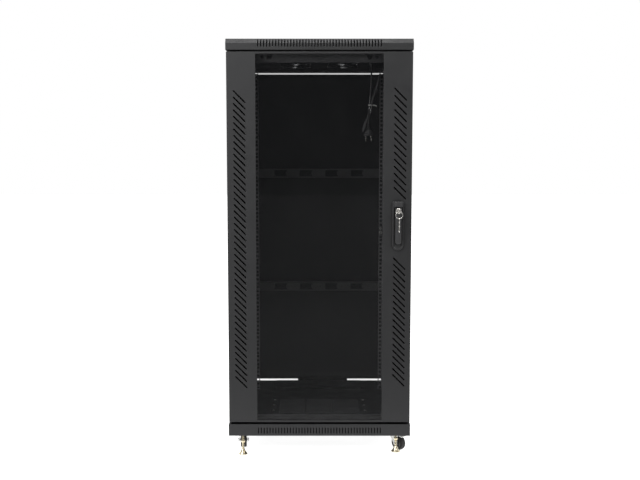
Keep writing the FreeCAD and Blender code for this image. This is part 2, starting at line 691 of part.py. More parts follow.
def handle_base():
    base = round_bottom(BASE_HALF, HANDLE_Z0, HANDLE_Z1, -BASE_PROUD, 0)
    top_block = rounded_plate(HANDLE_X - 13, HANDLE_X + 13, 828, HANDLE_Z1 - 2, -19, -BASE_PROUD, 3)
    pocket = round_bottom(13.5, HANDLE_Z0 + 5, 825, -BASE_PROUD - 1, -POCKET_FLOOR)
    bore = cyl_y(HANDLE_X, SPINDLE_Z, -BASE_PROUD - 1, 1, SPINDLE_R + RUN_FIT)
    return minus(base, [pocket, bore]), top_block


def handle_spindle():
    x, z = HANDLE_X, SPINDLE_Z
    shaft = cyl_y(x, z, -POCKET_FLOOR + 0.3, CAM_D[1], SPINDLE_R)
    neck = cyl_y(x, z, -8, -POCKET_FLOOR + 0.3, 3)
    tongue = box(x - 3, x + 3, YOKE_D - 2.6, -7, z - 3.2, z + 3.2)
    cam = box(x - 8, x + 33, *CAM_D, z - 8, z + 8)
    washer = cyl_y(x, z, SHEET + 0.3, SHEET + 3, 9)
    spindle = shaft.fuse([neck, tongue, cam, washer]).removeSplitter()
    return spindle.cut(cyl_x(x - 6, x + 6, YOKE_D, z, 1.5 + RUN_FIT))


def handle_lever():
    x, z = HANDLE_X, SPINDLE_Z
    lever = round_bottom(LEVER_HALF, *LEVER_Z, *LEVER_D)
    rims = [e for e in lever.Edges if e.BoundBox.YMax < Y_FRONT + LEVER_D[0] + 0.01]
    lever = lever.makeFillet(2.4, rims)
    slot = box(x - 3.4, x + 3.4, -17.4, -7, LEVER_Z[0] - 1, z + 12)
    relief = box(x - 4.6, x + 4.6, -8.6, -7, LEVER_Z[0] - 1, z + 12)
    bore = cyl_y(x, LOCK_Z, LEVER_D[0] - 1, LEVER_D[1] + 1, BARREL_R + RUN_FIT)
    pin = cyl_x(x - 8, x + 8, YOKE_D, z, 1.5)
    return minus(lever, [slot, relief, bore]).fuse(pin).removeSplitter()


save("handle_base", *handle_base())
save("handle_spindle", handle_spindle())
save("handle_lever", handle_lever())

KEY_THICK = 2.2
BOW_HOLE_R = 2.6
RING_R = 11.0
WIRE_R = 0.9
RING_HOLE_D = BOW_D - BOW_HOLE_IN


def lock_cylinder():
    """Barrel with the key in it; the key's bow stands out edge-on."""
    x, z = HANDLE_X, LOCK_Z
    barrel = cyl_y(x, z, LEVER_D[0] - 1, LEVER_D[1] - 0.4, BARREL_R)
    shank = box(x - KEY_THICK / 2, x + KEY_THICK / 2, BOW_D, LEVER_D[0] - 0.5, z - 4, z + 4)
    bow = cyl_x(x - KEY_THICK / 2, x + KEY_THICK / 2, BOW_D, z, BOW_R)
    hole = cyl_x(x - 3, x + 3, RING_HOLE_D, z, BOW_HOLE_R)
    return barrel.fuse([shank, bow]).removeSplitter().cut(hole)


def key_ring():
    z = LOCK_Z - BOW_HOLE_R + WIRE_R + 0.15 - RING_R
    return Part.makeTorus(RING_R, WIRE_R, vec(HANDLE_X, RING_HOLE_D, z), FreeCAD.Vector(0, 1, 0))


def spare_key():
    """Second key, hanging from the ring."""
    x, half = HANDLE_X, KEY_THICK / 2
    wire_z = LOCK_Z - BOW_HOLE_R + WIRE_R + 0.15 - 2 * RING_R
    hole_z = wire_z - BOW_HOLE_R + WIRE_R + 0.15
    centre = hole_z - BOW_HOLE_IN
    bow = cyl_x(x - half, x + half, RING_HOLE_D, centre, BOW_R)
    blade = box(x - half, x + half, RING_HOLE_D - 3.5, RING_HOLE_D + 3.5, centre - 38, centre)
    hole = cyl_x(x - 3, x + 3, RING_HOLE_D, hole_z, BOW_HOLE_R)
    notches = []
    for i in range(4):
        z = centre - 34 + 5.5 * i
        depth = 1.2 + 0.5 * (i % 3)
        notches.append(prism_x([(RING_HOLE_D - 4, z - 2.2), (RING_HOLE_D - 3.5 + depth, z),
                                (RING_HOLE_D - 4, z + 2.2)], x - 2, x + 2))
    return minus(bow.fuse(blade).removeSplitter(), [hole] + notches)


save("lock_cylinder", lock_cylinder())
save("key_ring", key_ring(), spare_key())

# ---- rear door ----------------------------------------------------------
REAR_BARREL_R = 9.0


def rear_door():
    """A skin with four returns."""
    s, half, far, near = SHEET, DOOR_HALF, DEPTH, DEPTH - DOOR_THICK
    z0, z1 = REAR_DOOR_Z0, REAR_DOOR_Z1
    skin = box(-half, half, far - s, far, z0, z1)
    bore = cyl_y(REAR_LOCK_X, REAR_LOCK_Z, near, far + 1, REAR_BARREL_R + RUN_FIT)
    edges = [box(side * half, side * (half - s), near, far - s, z0, z1) for side in (-1, 1)]
    pin = cyl_z(PIVOT_X, DEPTH - PIVOT_IN, z0 - 1, z1 + 1, PIN_R)
    folds = flats_x(-half + s, half - s, (near, far - s, z0, z0 + s), (near, far - s, z1 - s, z1))
    return [skin.cut(bore)] + edges + [fold.cut(pin) for fold in folds]


def rear_lock():
    x, z = REAR_LOCK_X, REAR_LOCK_Z
    head = cyl_y(x, z, DEPTH + 0.3, DEPTH + REAR_LOCK_PROUD, 12)
    barrel = cyl_y(x, z, DEPTH - 20, DEPTH + 0.3, REAR_BARREL_R)
    cam = box(x - 32, x + 7, DEPTH - 22.5, DEPTH - 20, z - 7, z + 7)
    slot = box(x - 0.8, x + 0.8, DEPTH + REAR_LOCK_PROUD - 1.5, DEPTH + 9, z - 5, z + 5)
    return head.fuse([barrel, cam]).removeSplitter().cut(slot)


save("rear_door", *rear_door())
save("rear_hinge_pins", hinge_pin(PIVOT_X, DEPTH - PIVOT_IN, REAR_DOOR_Z1, 1, 8.2),
     hinge_pin(PIVOT_X, DEPTH - PIVOT_IN, REAR_DOOR_Z0, -1, 2.8))
save("rear_lock", rear_lock())

# ---- levelling feet -----------------------------------------------------
FOOT_DISC_R = 15.0
STUD_R = 4.0
NUT_ACROSS = 13.0
WELD_NUT_Z = (PLINTH_Z0 + SHEET, PLINTH_Z0 + SHEET + 8.0)
LOCK_NUT_Z = (41.0, 47.0)
CORNERS = {"front_left": (-1, False), "front_right": (1, False),
           "rear_left": (-1, True), "rear_right": (1, True)}


def foot_place(side, rear):
    return side * FOOT_X, DEPTH - FOOT_D if rear else FOOT_D


def levelling_foot(x, d, lift):
    """A bell-shaped sole, its stud and the lock nut that is run down on the stud."""
    profile = [(0, 0), (FOOT_DISC_R, 0), (FOOT_DISC_R, 2.3), (8.0, 11.5), (4.8, 19.0), (STUD_R, 19.0),
               (STUD_R, 83.0), (STUD_R - 1, 84.0), (0, 84.0)]
    stud = revolve_z([(r, z + lift) for r, z in profile], x, d)
    nut = hexagon(x, d, LOCK_NUT_Z[0] + lift, LOCK_NUT_Z[1] + lift, NUT_ACROSS)
    return stud.fuse(nut).removeSplitter()


nuts = []
for corner, (side, rear) in CORNERS.items():
    foot_x, foot_d = foot_place(side, rear)
    lift = RAISED_FOOT if corner == "front_right" else 0.0
    save("foot_" + corner, levelling_foot(foot_x, foot_d, lift))
    nut = hexagon(foot_x, foot_d, *WELD_NUT_Z, NUT_ACROSS)
    thread = cyl_z(foot_x, foot_d, WELD_NUT_Z[0] - 1, WELD_NUT_Z[1] + 1, STUD_R + RUN_FIT)
    nuts.append(nut.cut(thread))
save("foot_nuts", *nuts)

# ---- casters ------------------------------------------------------------
PLATE_HALF = 30.0
PLATE_THICK = 2.5
KING_R = 5.0
LEG_IN = 13.0
LEG_OUT = 15.5
AXLE_R = 3.0
WHEEL_HALF = 11.5
BRIDGE_Z = (57.0, 61.5)
RACE_Z = 66.8
RACE_R = 23.0
BRIDGE_REACH = (-18.0, 23.0)
CASTER_TURN = {"front_left": 95.0, "front_right": -50.0, "rear_left": 215.0, "rear_right": -75.0}


def at_caster(shape, corner):
    """Move a shape from the caster's own frame, trail along +X, to its corner."""
    side, rear = CORNERS[corner]
    shape.rotate(FreeCAD.Vector(0, 0, 0), FreeCAD.Vector(0, 0, 1), CASTER_TURN[corner])
    depth = DEPTH - CASTER_D if rear else CASTER_D
    shape.translate(vec(side * CASTER_X, depth, 0))
    return shape


def local_box(x0, x1, y0, y1, z0, z1):
    return Part.makeBox(x1 - x0, y1 - y0, z1 - z0, FreeCAD.Vector(x0, y0, z0))


def local_cyl(r, length, base, axis):
    return Part.makeCylinder(r, length, FreeCAD.Vector(*base), FreeCAD.Vector(*axis))


def caster_plate(side, rear):
    d = DEPTH - CASTER_D if rear else CASTER_D
    x = side * CASTER_X
    z1 = PLINTH_Z0
    plate = box(x - PLATE_HALF, x + PLATE_HALF, d - PLATE_HALF, d + PLATE_HALF,
                z1 - PLATE_THICK, z1)
    king = cyl_z(x, d, BRIDGE_Z[0] - 1.5, z1 - PLATE_THICK, KING_R)
    cap = cyl_z(x, d, BRIDGE_Z[0] - 3.0, BRIDGE_Z[0] - 0.5, KING_R + 3)
    holes = []
    for sx in (-1, 1):
        for sd in (-1, 1):
            holes.append(cyl_z(x + sx * 22, d + sd * 22, z1 - 5, z1 + 1, 3.3))
    return [minus(plate, holes), king.fuse(cap).removeSplitter()]


def fork_leg(y0, y1):
    """Tapered cheek from the swivel down to the axle."""
    outline = [(BRIDGE_REACH[0], 59), (BRIDGE_REACH[1], 59), (WHEEL_TRAIL + 8.5, 27),
               (WHEEL_TRAIL - 8.5, 23)]
    points = [FreeCAD.Vector(x, y0, z) for x, z in outline]
    cheek = prism(points, FreeCAD.Vector(0, y1 - y0, 0))
    boss = local_cyl(8.5, y1 - y0, (WHEEL_TRAIL, y0, WHEEL_R), (0, 1, 0))
    return cheek.fuse(boss).removeSplitter()


def caster_fork():
    bridge = local_box(*BRIDGE_REACH, -LEG_OUT, LEG_OUT, *BRIDGE_Z)
    race = local_cyl(RACE_R, RACE_Z - BRIDGE_Z[1], (0, 0, BRIDGE_Z[1]), (0, 0, 1))
    legs = [fork_leg(-LEG_OUT, -LEG_IN), fork_leg(LEG_IN, LEG_OUT)]
    axle = local_cyl(AXLE_R, 2 * LEG_OUT, (WHEEL_TRAIL, -LEG_OUT, WHEEL_R), (0, 1, 0))
    heads = [local_cyl(5.5, 3, (WHEEL_TRAIL, y, WHEEL_R), (0, 1, 0))
             for y in (-LEG_OUT - 3, LEG_OUT)]
    fork = bridge.fuse([race, axle] + legs + heads).removeSplitter()
    return fork.cut(local_cyl(KING_R + RUN_FIT, 20, (0, 0, 50), (0, 0, 1)))


def caster_wheel():
    """Tyre on a webbed hub, turned about the axle."""
    r, w = WHEEL_R, WHEEL_HALF
    outline = [(AXLE_R + RUN_FIT, -w), (8, -w), (9, -w + 3.5), (17, -w + 3.5), (18, -w + 1),
               (r - 3, -w + 1), (r - 0.9, -w + 1.9), (r, -w + 4), (r, w - 4), (r - 0.9, w - 1.9),
               (r - 3, w - 1), (18, w - 1), (17, w - 3.5), (9, w - 3.5), (8, w), (AXLE_R + RUN_FIT, w)]
    points = [FreeCAD.Vector(WHEEL_TRAIL + rad, y, r) for rad, y in outline]
    face = Part.Face(Part.makePolygon(points + [points[0]]))
    return face.revolve(FreeCAD.Vector(WHEEL_TRAIL, 0, r), FreeCAD.Vector(0, 1, 0), 360)


PEDAL_PIVOT = (24.0, 55.0)


def brake_pedal():
    """Foot pedal on a cross pin behind the swivel, with a wide toe plate."""
    px, pz = PEDAL_PIVOT
    pin = local_cyl(1.8, 2 * LEG_IN - 1, (px, -LEG_IN + 0.5, pz), (0, 1, 0))
    arm = local_box(px - 1, px + 8, -9, 9, pz - 2.2, pz + 1.2)
    toe = local_box(px + 6, px + 19, -12, 12, pz - 2.2, pz + 0.8)
    toe.rotate(FreeCAD.Vector(px + 6, 0, pz), FreeCAD.Vector(0, 1, 0), 14)
    return arm.fuse([pin, toe]).removeSplitter()


def pedal_bracket():
    """Ears that carry the pedal's pin, part of the braked forks."""
    px, pz = PEDAL_PIVOT
    ears = []
    for y in (-LEG_OUT, LEG_IN):
        ear = local_box(15, px + 4, y, y + LEG_OUT - LEG_IN, pz - 4, BRIDGE_Z[1])
        ears.append(ear)
    return ears


save("caster_plates", *[solid for side, rear in CORNERS.values()
                        for solid in caster_plate(side, rear)])
for corner in CORNERS:
    fork = caster_fork()
    if corner.startswith("front"):
        fork = fork.fuse(pedal_bracket()).removeSplitter()
        save("brake_pedal_" + corner, at_caster(brake_pedal(), corner))
    save("caster_fork_" + corner, at_caster(fork, corner))
    save("caster_wheel_" + corner, at_caster(caster_wheel(), corner))

# ---- fan lead -----------------------------------------------------------
CORD_R = 3.0
GLAND_Z = (1297.0, CEILING_Z0)
TIE_Z = 1178.0
TIE_CENTRE = (183.7, 298.6)
TIE_R = 7.8
# Straight down from the gland, through the tie, a low loop, up through the tie,
# a high loop, and down through the tie to the plug.
CORD_ROUTE = [
    (186.0, 300.0, 1297.0), (186.0, 300.0, 1263.0), (183.6, 298.6, 1228.0),
    (180.6, 296.9, 1192.0), (179.8, 296.6, 1162.0), (173.0, 290.0, 1136.0),
    (167.0, 280.5, 1117.0), (162.0, 278.5, 1098.5), (157.0, 290.5, 1086.0),
    (155.5, 308.0, 1086.0), (158.5, 321.0, 1098.5), (166.0, 321.0, 1119.0),
    (177.0, 312.0, 1140.0), (183.2, 303.0, 1163.0), (184.0, 302.8, 1192.0),
    (193.0, 311.0, 1222.0), (205.5, 319.0, 1248.0), (213.0, 320.5, 1272.5),
    (216.0, 307.0, 1286.0), (215.0, 289.5, 1286.0), (212.0, 277.0, 1273.0),
    (207.0, 277.5, 1249.0), (198.0, 285.0, 1222.0), (187.6, 295.8, 1193.0),
    (186.6, 296.8, 1160.0), (177.0, 300.0, 1136.0), (177.0, 300.0, 1113.0)]
PLUG = CORD_ROUTE[-1]


def corner_arc(a, b, c):
    """The tangent arc at b, as large as its two runs allow."""
    before = (a - b)
    after = (c - b)
    shorter = min(before.Length, after.Length)
    turn = math.pi - before.getAngle(after)
    radius = 0.45 * shorter / math.tan(turn / 2)
    reach = 0.45 * shorter
    start = b + before.normalize() * reach
    end = b + after.normalize() * reach
    middle_way = (before + after).normalize()
    to_centre = radius / math.cos(turn / 2)
    middle = b + middle_way * (to_centre - radius)
    return start, middle, end, radius, turn


def cord_path(route):
    points = [vec(*p) for p in route]
    edges = []
    here = points[0]
    for i in range(1, len(points) - 1):
        start, middle, end, radius, turn = corner_arc(points[i - 1], points[i], points[i + 1])
        run = (points[i + 1] - points[i]).Length
        print("cord point %d radius %.1f turn %.0f next run %.1f"
              % (i, radius, math.degrees(turn), run))
        edges.append(Part.LineSegment(here, start).toShape())
        edges.append(Part.Arc(start, middle, end).toShape())
        here = end
    edges.append(Part.LineSegment(here, points[-1]).toShape())
    return Part.Wire(edges)


def cord():
    path = cord_path(CORD_ROUTE)
    first = vec(*CORD_ROUTE[1]) - vec(*CORD_ROUTE[0])
    ring = Part.Wire(Part.makeCircle(CORD_R, vec(*CORD_ROUTE[0]), first))
    tube = path.makePipeShell([ring], True, True)
    expected = math.pi * CORD_R ** 2 * path.Length
    print("cord length %.1f volume %.1f expected %.1f" % (path.Length, tube.Volume, expected))
    return tube


def cable_tie():
    """A band round the three strands, its head and a cut tail to the right."""
    x, d = TIE_CENTRE
    band = cyl_z(x, d, TIE_Z - 1.9, TIE_Z + 1.9, TIE_R + 1.2)
    head = box(x + TIE_R, x + TIE_R + 5, d - 2.6, d + 2.6, TIE_Z - 2.6, TIE_Z + 2.6)
    tail = box(x + TIE_R + 4, x + TIE_R + 15, d - 1.9, d - 0.6, TIE_Z - 1.8, TIE_Z + 1.8)
    tail.rotate(vec(x + TIE_R + 4, d, TIE_Z), FreeCAD.Vector(0, 1, 0), 18)
    tie = band.fuse([head, tail]).removeSplitter()
    return tie.cut(cyl_z(x, d, TIE_Z - 4, TIE_Z + 4, TIE_R))


def cord_gland():
    """Hexagon nut under the ceiling and a tapered sleeve down to the cord."""
    x, d = GLAND
    z0, z1 = GLAND_Z
    nut = hexagon(x, d, z1 - 7, z1, 18.0)
    neck = cyl_z(x, d, z1 - 1, ROOF_Z0 + 6, 5.9)
    sleeve = Part.makeCone(CORD_R + 0.8, 6.2, z1 - 6 - z0, vec(x, d, z0))
    return nut.fuse([sleeve, neck]).removeSplitter()


PLUG_PROFILE = [(0, 0), (4.2, 0), (6.2, -21), (11.5, -22.5), (13.5, -35), (18.5, -36.5),
                (18.5, -43), (16.5, -44.5), (0, -44.5)]
PIN_GAP = 9.5
PLUG_PIN_R = 2.4


def plug_body():
    return revolve_z([(r, PLUG[2] + z) for r, z in PLUG_PROFILE], PLUG[0], PLUG[1])


def plug_pins():
    low = PLUG[2] - 44.5
    pins = []
    for side in (-1, 1):
        pin = cyl_z(PLUG[0] + side * PIN_GAP, PLUG[1], low - 19, low, PLUG_PIN_R)
        tip = [e for e in pin.Edges if e.BoundBox.ZMax < low - 18]
        pins.append(pin.makeFillet(1.2, tip))
    return pins


save("fan_cord", cord())
save("cable_tie", cable_tie())
save("cord_gland", cord_gland())
save("plug_body", plug_body())
save("plug_pins", *plug_pins())
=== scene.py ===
import json
import math

import bmesh
import bpy
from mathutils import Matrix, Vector


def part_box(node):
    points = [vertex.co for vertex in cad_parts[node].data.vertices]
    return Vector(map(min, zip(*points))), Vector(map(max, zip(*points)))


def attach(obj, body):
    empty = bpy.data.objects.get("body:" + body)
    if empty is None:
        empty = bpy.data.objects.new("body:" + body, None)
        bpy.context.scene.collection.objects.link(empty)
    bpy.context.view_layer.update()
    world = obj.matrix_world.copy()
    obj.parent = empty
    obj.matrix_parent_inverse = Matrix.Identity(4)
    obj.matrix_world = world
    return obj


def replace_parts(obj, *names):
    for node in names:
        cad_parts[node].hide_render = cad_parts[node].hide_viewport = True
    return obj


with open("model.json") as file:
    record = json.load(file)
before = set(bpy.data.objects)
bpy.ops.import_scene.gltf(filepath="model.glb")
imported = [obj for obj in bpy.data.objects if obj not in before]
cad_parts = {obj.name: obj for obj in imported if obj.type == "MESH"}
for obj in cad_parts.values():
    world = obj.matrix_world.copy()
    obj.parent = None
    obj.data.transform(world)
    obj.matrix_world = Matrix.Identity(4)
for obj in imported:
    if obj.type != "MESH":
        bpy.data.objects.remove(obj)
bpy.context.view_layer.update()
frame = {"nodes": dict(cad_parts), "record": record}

# ---- the shared frame ---------------------------------------------------
MM = 0.001
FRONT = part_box("roof_cover")[0].y
NODES = frame["nodes"]
UP = (0, 0, 1)

# Places that the CAD script also uses, in millimetres.
DEPTH = 600.0
CORNERS = {"front_left": (-1, False), "front_right": (1, False),
           "rear_left": (-1, True), "rear_right": (1, True)}
CASTER_TURN = {"front_left": 95.0, "front_right": -50.0, "rear_left": 215.0, "rear_right": -75.0}
CASTER_X = 258.0
CASTER_D = 80.0
WHEEL_R = 25.0
WHEEL_TRAIL = 17.0
FOOT_X = 255.0
FOOT_D = 25.0
RAISED_FOOT = 9.0
NUT_ACROSS = 13.0
LOCK_NUT_Z = 41.0
WELD_NUT_Z = 71.5
HANDLE_X = 253.7
LOCK_Z = 816.0
FAN_X = 85.0
FAN_D = 365.0
FAN_Z0 = 1331.0


def at(x, depth, z):
    """A point in the shared frame, from millimetres and a depth behind the front plane."""
    return Vector((x * MM, FRONT + depth * MM, z * MM))


def near_corner(corner, x, inset, z):
    """A point x from the middle, and inset from the front or the rear plane."""
    side, rear = CORNERS[corner]
    return at(side * x, DEPTH - inset if rear else inset, z)


# ---- camera -------------------------------------------------------------
EYE = at(-12, -2585, 940)
TILT_DOWN = 4.846
LENS_MM = 45.0
SENSOR_MM = 36.0
SHIFT = 0.0066


def make_camera():
    data = bpy.data.cameras.new("camera")
    data.lens = LENS_MM
    data.sensor_width = SENSOR_MM
    data.shift_x = SHIFT
    data.clip_start = 0.05
    data.clip_end = 60
    camera = bpy.data.objects.new("camera", data)
    camera.location = EYE
    camera.rotation_euler = (math.radians(90 - TILT_DOWN), 0, 0)
    bpy.context.collection.objects.link(camera)
    bpy.context.scene.camera = camera


make_camera()


# ---- materials ----------------------------------------------------------
# Painted shade: the near-black that slots and narrow gaps are darkened to.
DEEP_SHADE = (0.002, 0.002, 0.002)
FOLD_RADIUS = 0.0015
PLATED_RADIUS = 0.0004
MOULDED_RADIUS = 0.0005
GLASS_TINT = (0.006, 0.0065, 0.0075)
GLASS_ALPHA = 0.24


class Paint:
    """A node material with the small helpers that every finish here shares."""

    def __init__(self, name, color, roughness, metallic=0.0):
        self.material = bpy.data.materials.new(name)
        self.material.use_nodes = True
        self.tree = self.material.node_tree
        self.shader = self.tree.nodes["Principled BSDF"]
        self.shader.inputs["Base Color"].default_value = (*color, 1)
        self.shader.inputs["Roughness"].default_value = roughness
        self.shader.inputs["Metallic"].default_value = metallic
        self.where = self.add("ShaderNodeTexCoord").outputs["Object"]
        self.normal = None

    def add(self, kind, **settings):
        node = self.tree.nodes.new(kind)
        for key, value in settings.items():
            setattr(node, key, value)
        return node

    def link(self, output, target):
        self.tree.links.new(output, target)

    def noise(self, scale, detail=3.0, rough=0.5, stretch=None):
        """A value from 0 to 1 that varies over about 1/scale metres."""
        node = self.add("ShaderNodeTexNoise")
        node.inputs["Scale"].default_value = scale
        node.inputs["Detail"].default_value = detail
        node.inputs["Roughness"].default_value = rough
        source = self.where
        if stretch is not None:
            mapping = self.add("ShaderNodeMapping")
            mapping.inputs["Scale"].default_value = stretch
            self.link(source, mapping.inputs["Vector"])
            source = mapping.outputs["Vector"]
        self.link(source, node.inputs["Vector"])
        return node.outputs["Fac"]

    def ramp(self, value, low, high, start, end):
        """Remap a value from low..high to start..end, clamped."""
        node = self.add("ShaderNodeMapRange")
        for key, number in (("From Min", low), ("From Max", high), ("To Min", start),
                            ("To Max", end)):
            node.inputs[key].default_value = number
        self.link(value, node.inputs["Value"])
        return node.outputs["Result"]

    def blend(self, factor, first, second):
        node = self.add("ShaderNodeMix", data_type="RGBA")
        self.link(factor, node.inputs["Factor"])
        for socket, color in ((node.inputs[6], first), (node.inputs[7], second)):
            if isinstance(color, tuple):
                socket.default_value = (*color, 1)
            else:
                self.link(color, socket)
        return node.outputs[2]

    def color(self, output):
        self.link(output, self.shader.inputs["Base Color"])

    def roughness(self, output):
        self.link(output, self.shader.inputs["Roughness"])

    def bump(self, value, height, strength=1.0):
        """Relief of that height in metres, laid over what the surface has so far."""
        node = self.add("ShaderNodeBump")
        node.inputs["Strength"].default_value = strength
        node.inputs["Distance"].default_value = height
        self.link(value, node.inputs["Height"])
        if self.normal is not None:
            self.link(self.normal, node.inputs["Normal"])
        self.normal = node.outputs["Normal"]
        self.link(self.normal, self.shader.inputs["Normal"])

    def soft_edges(self, radius):
        """Rounded folds. Returns a mask that is high along the edges."""
        bevel = self.add("ShaderNodeBevel", samples=6)
        bevel.inputs["Radius"].default_value = radius
        flat = self.add("ShaderNodeNewGeometry").outputs["Normal"]
        dot = self.add("ShaderNodeVectorMath", operation="DOT_PRODUCT")
        self.link(bevel.outputs["Normal"], dot.inputs[0])
        self.link(flat, dot.inputs[1])
        self.normal = bevel.outputs["Normal"]
        self.link(self.normal, self.shader.inputs["Normal"])
        return self.ramp(dot.outputs["Value"], 1.0, 0.8, 0.0, 1.0)

    def painted_gap_shade_mask(self, reach):
        """Mask for painted shade: low in slots and narrow gaps, where colour and reflection are darkened,
        and 1 where nothing is within reach.
        """
        cover = self.add("ShaderNodeAmbientOcclusion", samples=6)
        cover.inputs["Distance"].default_value = reach
        return self.ramp(cover.outputs["AO"], 0.25, 0.8, 0.12, 1.0)

    def facing_up(self):
        """High on faces that look at the ceiling."""
        split = self.add("ShaderNodeSeparateXYZ")
        self.link(self.add("ShaderNodeNewGeometry").outputs["Normal"], split.inputs[0])
        return self.ramp(split.outputs["Z"], 0.4, 1.0, 0.0, 1.0)


def powder_coat(name, dark, light, worn_and_highlight, gloss, relief=0.8, shine=0.5, reach=0.045):
    """Powder coat: orange-peel relief, faint clouds, edges lightened as wear and as a painted highlight,
    lighter on faces that look up, and painted shade in its slots and gaps.
    """
    paint = Paint(name, dark, gloss)
    open_vs_painted_shade = paint.painted_gap_shade_mask(reach)
    # Painted shade: the reflection is dimmed in slots and gaps.
    paint.link(paint.ramp(open_vs_painted_shade, 0.0, 1.0, 0.0, shine), paint.shader.inputs["Specular IOR Level"])
    edge = paint.soft_edges(FOLD_RADIUS)
    clouds = paint.ramp(paint.noise(5.0, 4.0), 0.3, 0.7, 0.0, 1.0)
    body = paint.blend(clouds, dark, light)
    # Faces that look up are lighter.
    lighter_facing_up = paint.blend(paint.facing_up(), body, light)
    # Rubbed edges are lightened, partly as wear and partly as a painted highlight along the folds.
    rub_and_highlight = paint.add("ShaderNodeMath", operation="MULTIPLY")
    paint.link(edge, rub_and_highlight.inputs[0])
    paint.link(paint.ramp(paint.noise(60.0), 0.35, 0.7, 0.3, 1.0), rub_and_highlight.inputs[1])
    coat = paint.blend(rub_and_highlight.outputs["Value"], lighter_facing_up, worn_and_highlight)
    # Painted shade: slots and gaps are darkened towards DEEP_SHADE.
    paint.color(paint.blend(open_vs_painted_shade, DEEP_SHADE, coat))
    paint.roughness(paint.ramp(paint.noise(26.0, 5.0), 0.3, 0.7, gloss - 0.05, gloss + 0.08))
    paint.bump(paint.noise(420.0, 2.0), 0.00012, relief)
    paint.bump(paint.noise(1700.0, 2.0), 0.00005, relief)
    return paint.material


def plated(name, tint, second, gloss):
    """Plated steel: patchy tint, soft scratches and an uneven gloss."""
    paint = Paint(name, tint, gloss, 1.0)
    paint.soft_edges(PLATED_RADIUS)
    patches = paint.ramp(paint.noise(90.0, 5.0, 0.6), 0.35, 0.68, 0.0, 1.0)
    paint.color(paint.blend(patches, tint, second))
    paint.roughness(paint.ramp(paint.noise(240.0, 4.0), 0.3, 0.75, gloss * 0.7, gloss * 1.6))
    paint.bump(paint.noise(900.0, 3.0, 0.6, (1, 1, 0.08)), 0.00003, 0.25)
    return paint.material


def moulded(name, dark, light, gloss, grain=1400.0, relief=0.00004):
    """Moulded plastic or rubber with a spark-eroded grain."""
    paint = Paint(name, dark, gloss)
    paint.soft_edges(MOULDED_RADIUS)
    clouds = paint.ramp(paint.noise(40.0, 4.0), 0.3, 0.7, 0.0, 1.0)
    paint.color(paint.blend(clouds, dark, light))
    paint.roughness(paint.ramp(paint.noise(150.0, 4.0), 0.3, 0.7, gloss * 0.85, gloss * 1.2))
    paint.bump(paint.noise(grain, 3.0), relief, 0.6)
    return paint.material


def tinted_glass(name):
    """Clear pane with a grey tint; the faint roughness patches are wiped dust."""
    paint = Paint(name, GLASS_TINT, 0.03)
    paint.shader.inputs["Alpha"].default_value = GLASS_ALPHA
    paint.roughness(paint.ramp(paint.noise(9.0, 6.0, 0.65), 0.45, 0.8, 0.02, 0.09))
    haze = paint.ramp(paint.noise(14.0, 5.0, 0.6, (1, 1, 0.3)), 0.5, 0.85, 0.0, 1.0)
    paint.color(paint.blend(haze, GLASS_TINT, (0.012, 0.012, 0.013)))
    paint.material.surface_render_method = "BLENDED"
    return paint.material


# The third colour lightens rubbed edges, as wear and as a painted highlight.
BLACK_COAT = ((0.013, 0.0132, 0.0142), (0.017, 0.0172, 0.0182), (0.075, 0.075, 0.078))
OUTER = powder_coat("outer_coat", *BLACK_COAT, 0.5)
INNER = powder_coat("frame_coat", (0.010, 0.0102, 0.011), (0.014, 0.0142, 0.015),
                    (0.06, 0.06, 0.062), 0.55, 0.12, 0.3)
# Painted shade that reaches further into the slots and vents of the plinth and the roof.
DEEP_SLOT_SHADE = powder_coat("slotted_coat_deep_painted_shade", *BLACK_COAT, 0.5, reach=0.09)
REAR = powder_coat("rear_coat", *BLACK_COAT, 0.5, 0.03)
BEAM = powder_coat("beam_coat", (0.055, 0.055, 0.057), (0.07, 0.07, 0.072),
                   (0.16, 0.16, 0.162), 0.42, 0.12, 0.6, 0.012)
RAIL = powder_coat("rail_coat", (0.13, 0.13, 0.134), (0.17, 0.17, 0.174),
                   (0.3, 0.3, 0.3), 0.38, 0.12, 0.6, 0.004)
ZINC = plated("zinc", (0.62, 0.61, 0.58), (0.50, 0.51, 0.52), 0.28)
YELLOW_ZINC = plated("yellow_zinc", (0.76, 0.65, 0.42), (0.72, 0.70, 0.60), 0.22)
CHROME = plated("chrome", (0.78, 0.78, 0.79), (0.70, 0.71, 0.73), 0.10)
NICKEL = plated("nickel", (0.74, 0.72, 0.68), (0.66, 0.65, 0.62), 0.2)
GLASS = tinted_glass("tinted_glass")
BLACK_PLASTIC = moulded("black_plastic", (0.022, 0.022, 0.023), (0.03, 0.03, 0.031), 0.38)
LEVER_BLACK = moulded("lever_black", (0.032, 0.032, 0.033), (0.042, 0.042, 0.044), 0.33)
FAN_BLACK = moulded("fan_black", (0.012, 0.012, 0.012), (0.02, 0.02, 0.02), 0.5)
RUBBER = moulded("rubber", (0.012, 0.012, 0.012), (0.02, 0.019, 0.018), 0.7, 700.0, 0.0001)
CORD_BLACK = moulded("cord_sheath", (0.12, 0.12, 0.122), (0.17, 0.17, 0.172), 0.13, 300.0, 0.00001)
PLUG_BLACK = moulded("plug_black", (0.08, 0.08, 0.082), (0.12, 0.12, 0.122), 0.16, 900.0, 0.00001)
HUB_GREY = moulded("hub_grey", (0.05, 0.05, 0.052), (0.07, 0.07, 0.072), 0.45)
NYLON = moulded("nylon", (0.9, 0.9, 0.87), (0.82, 0.82, 0.78), 0.3)

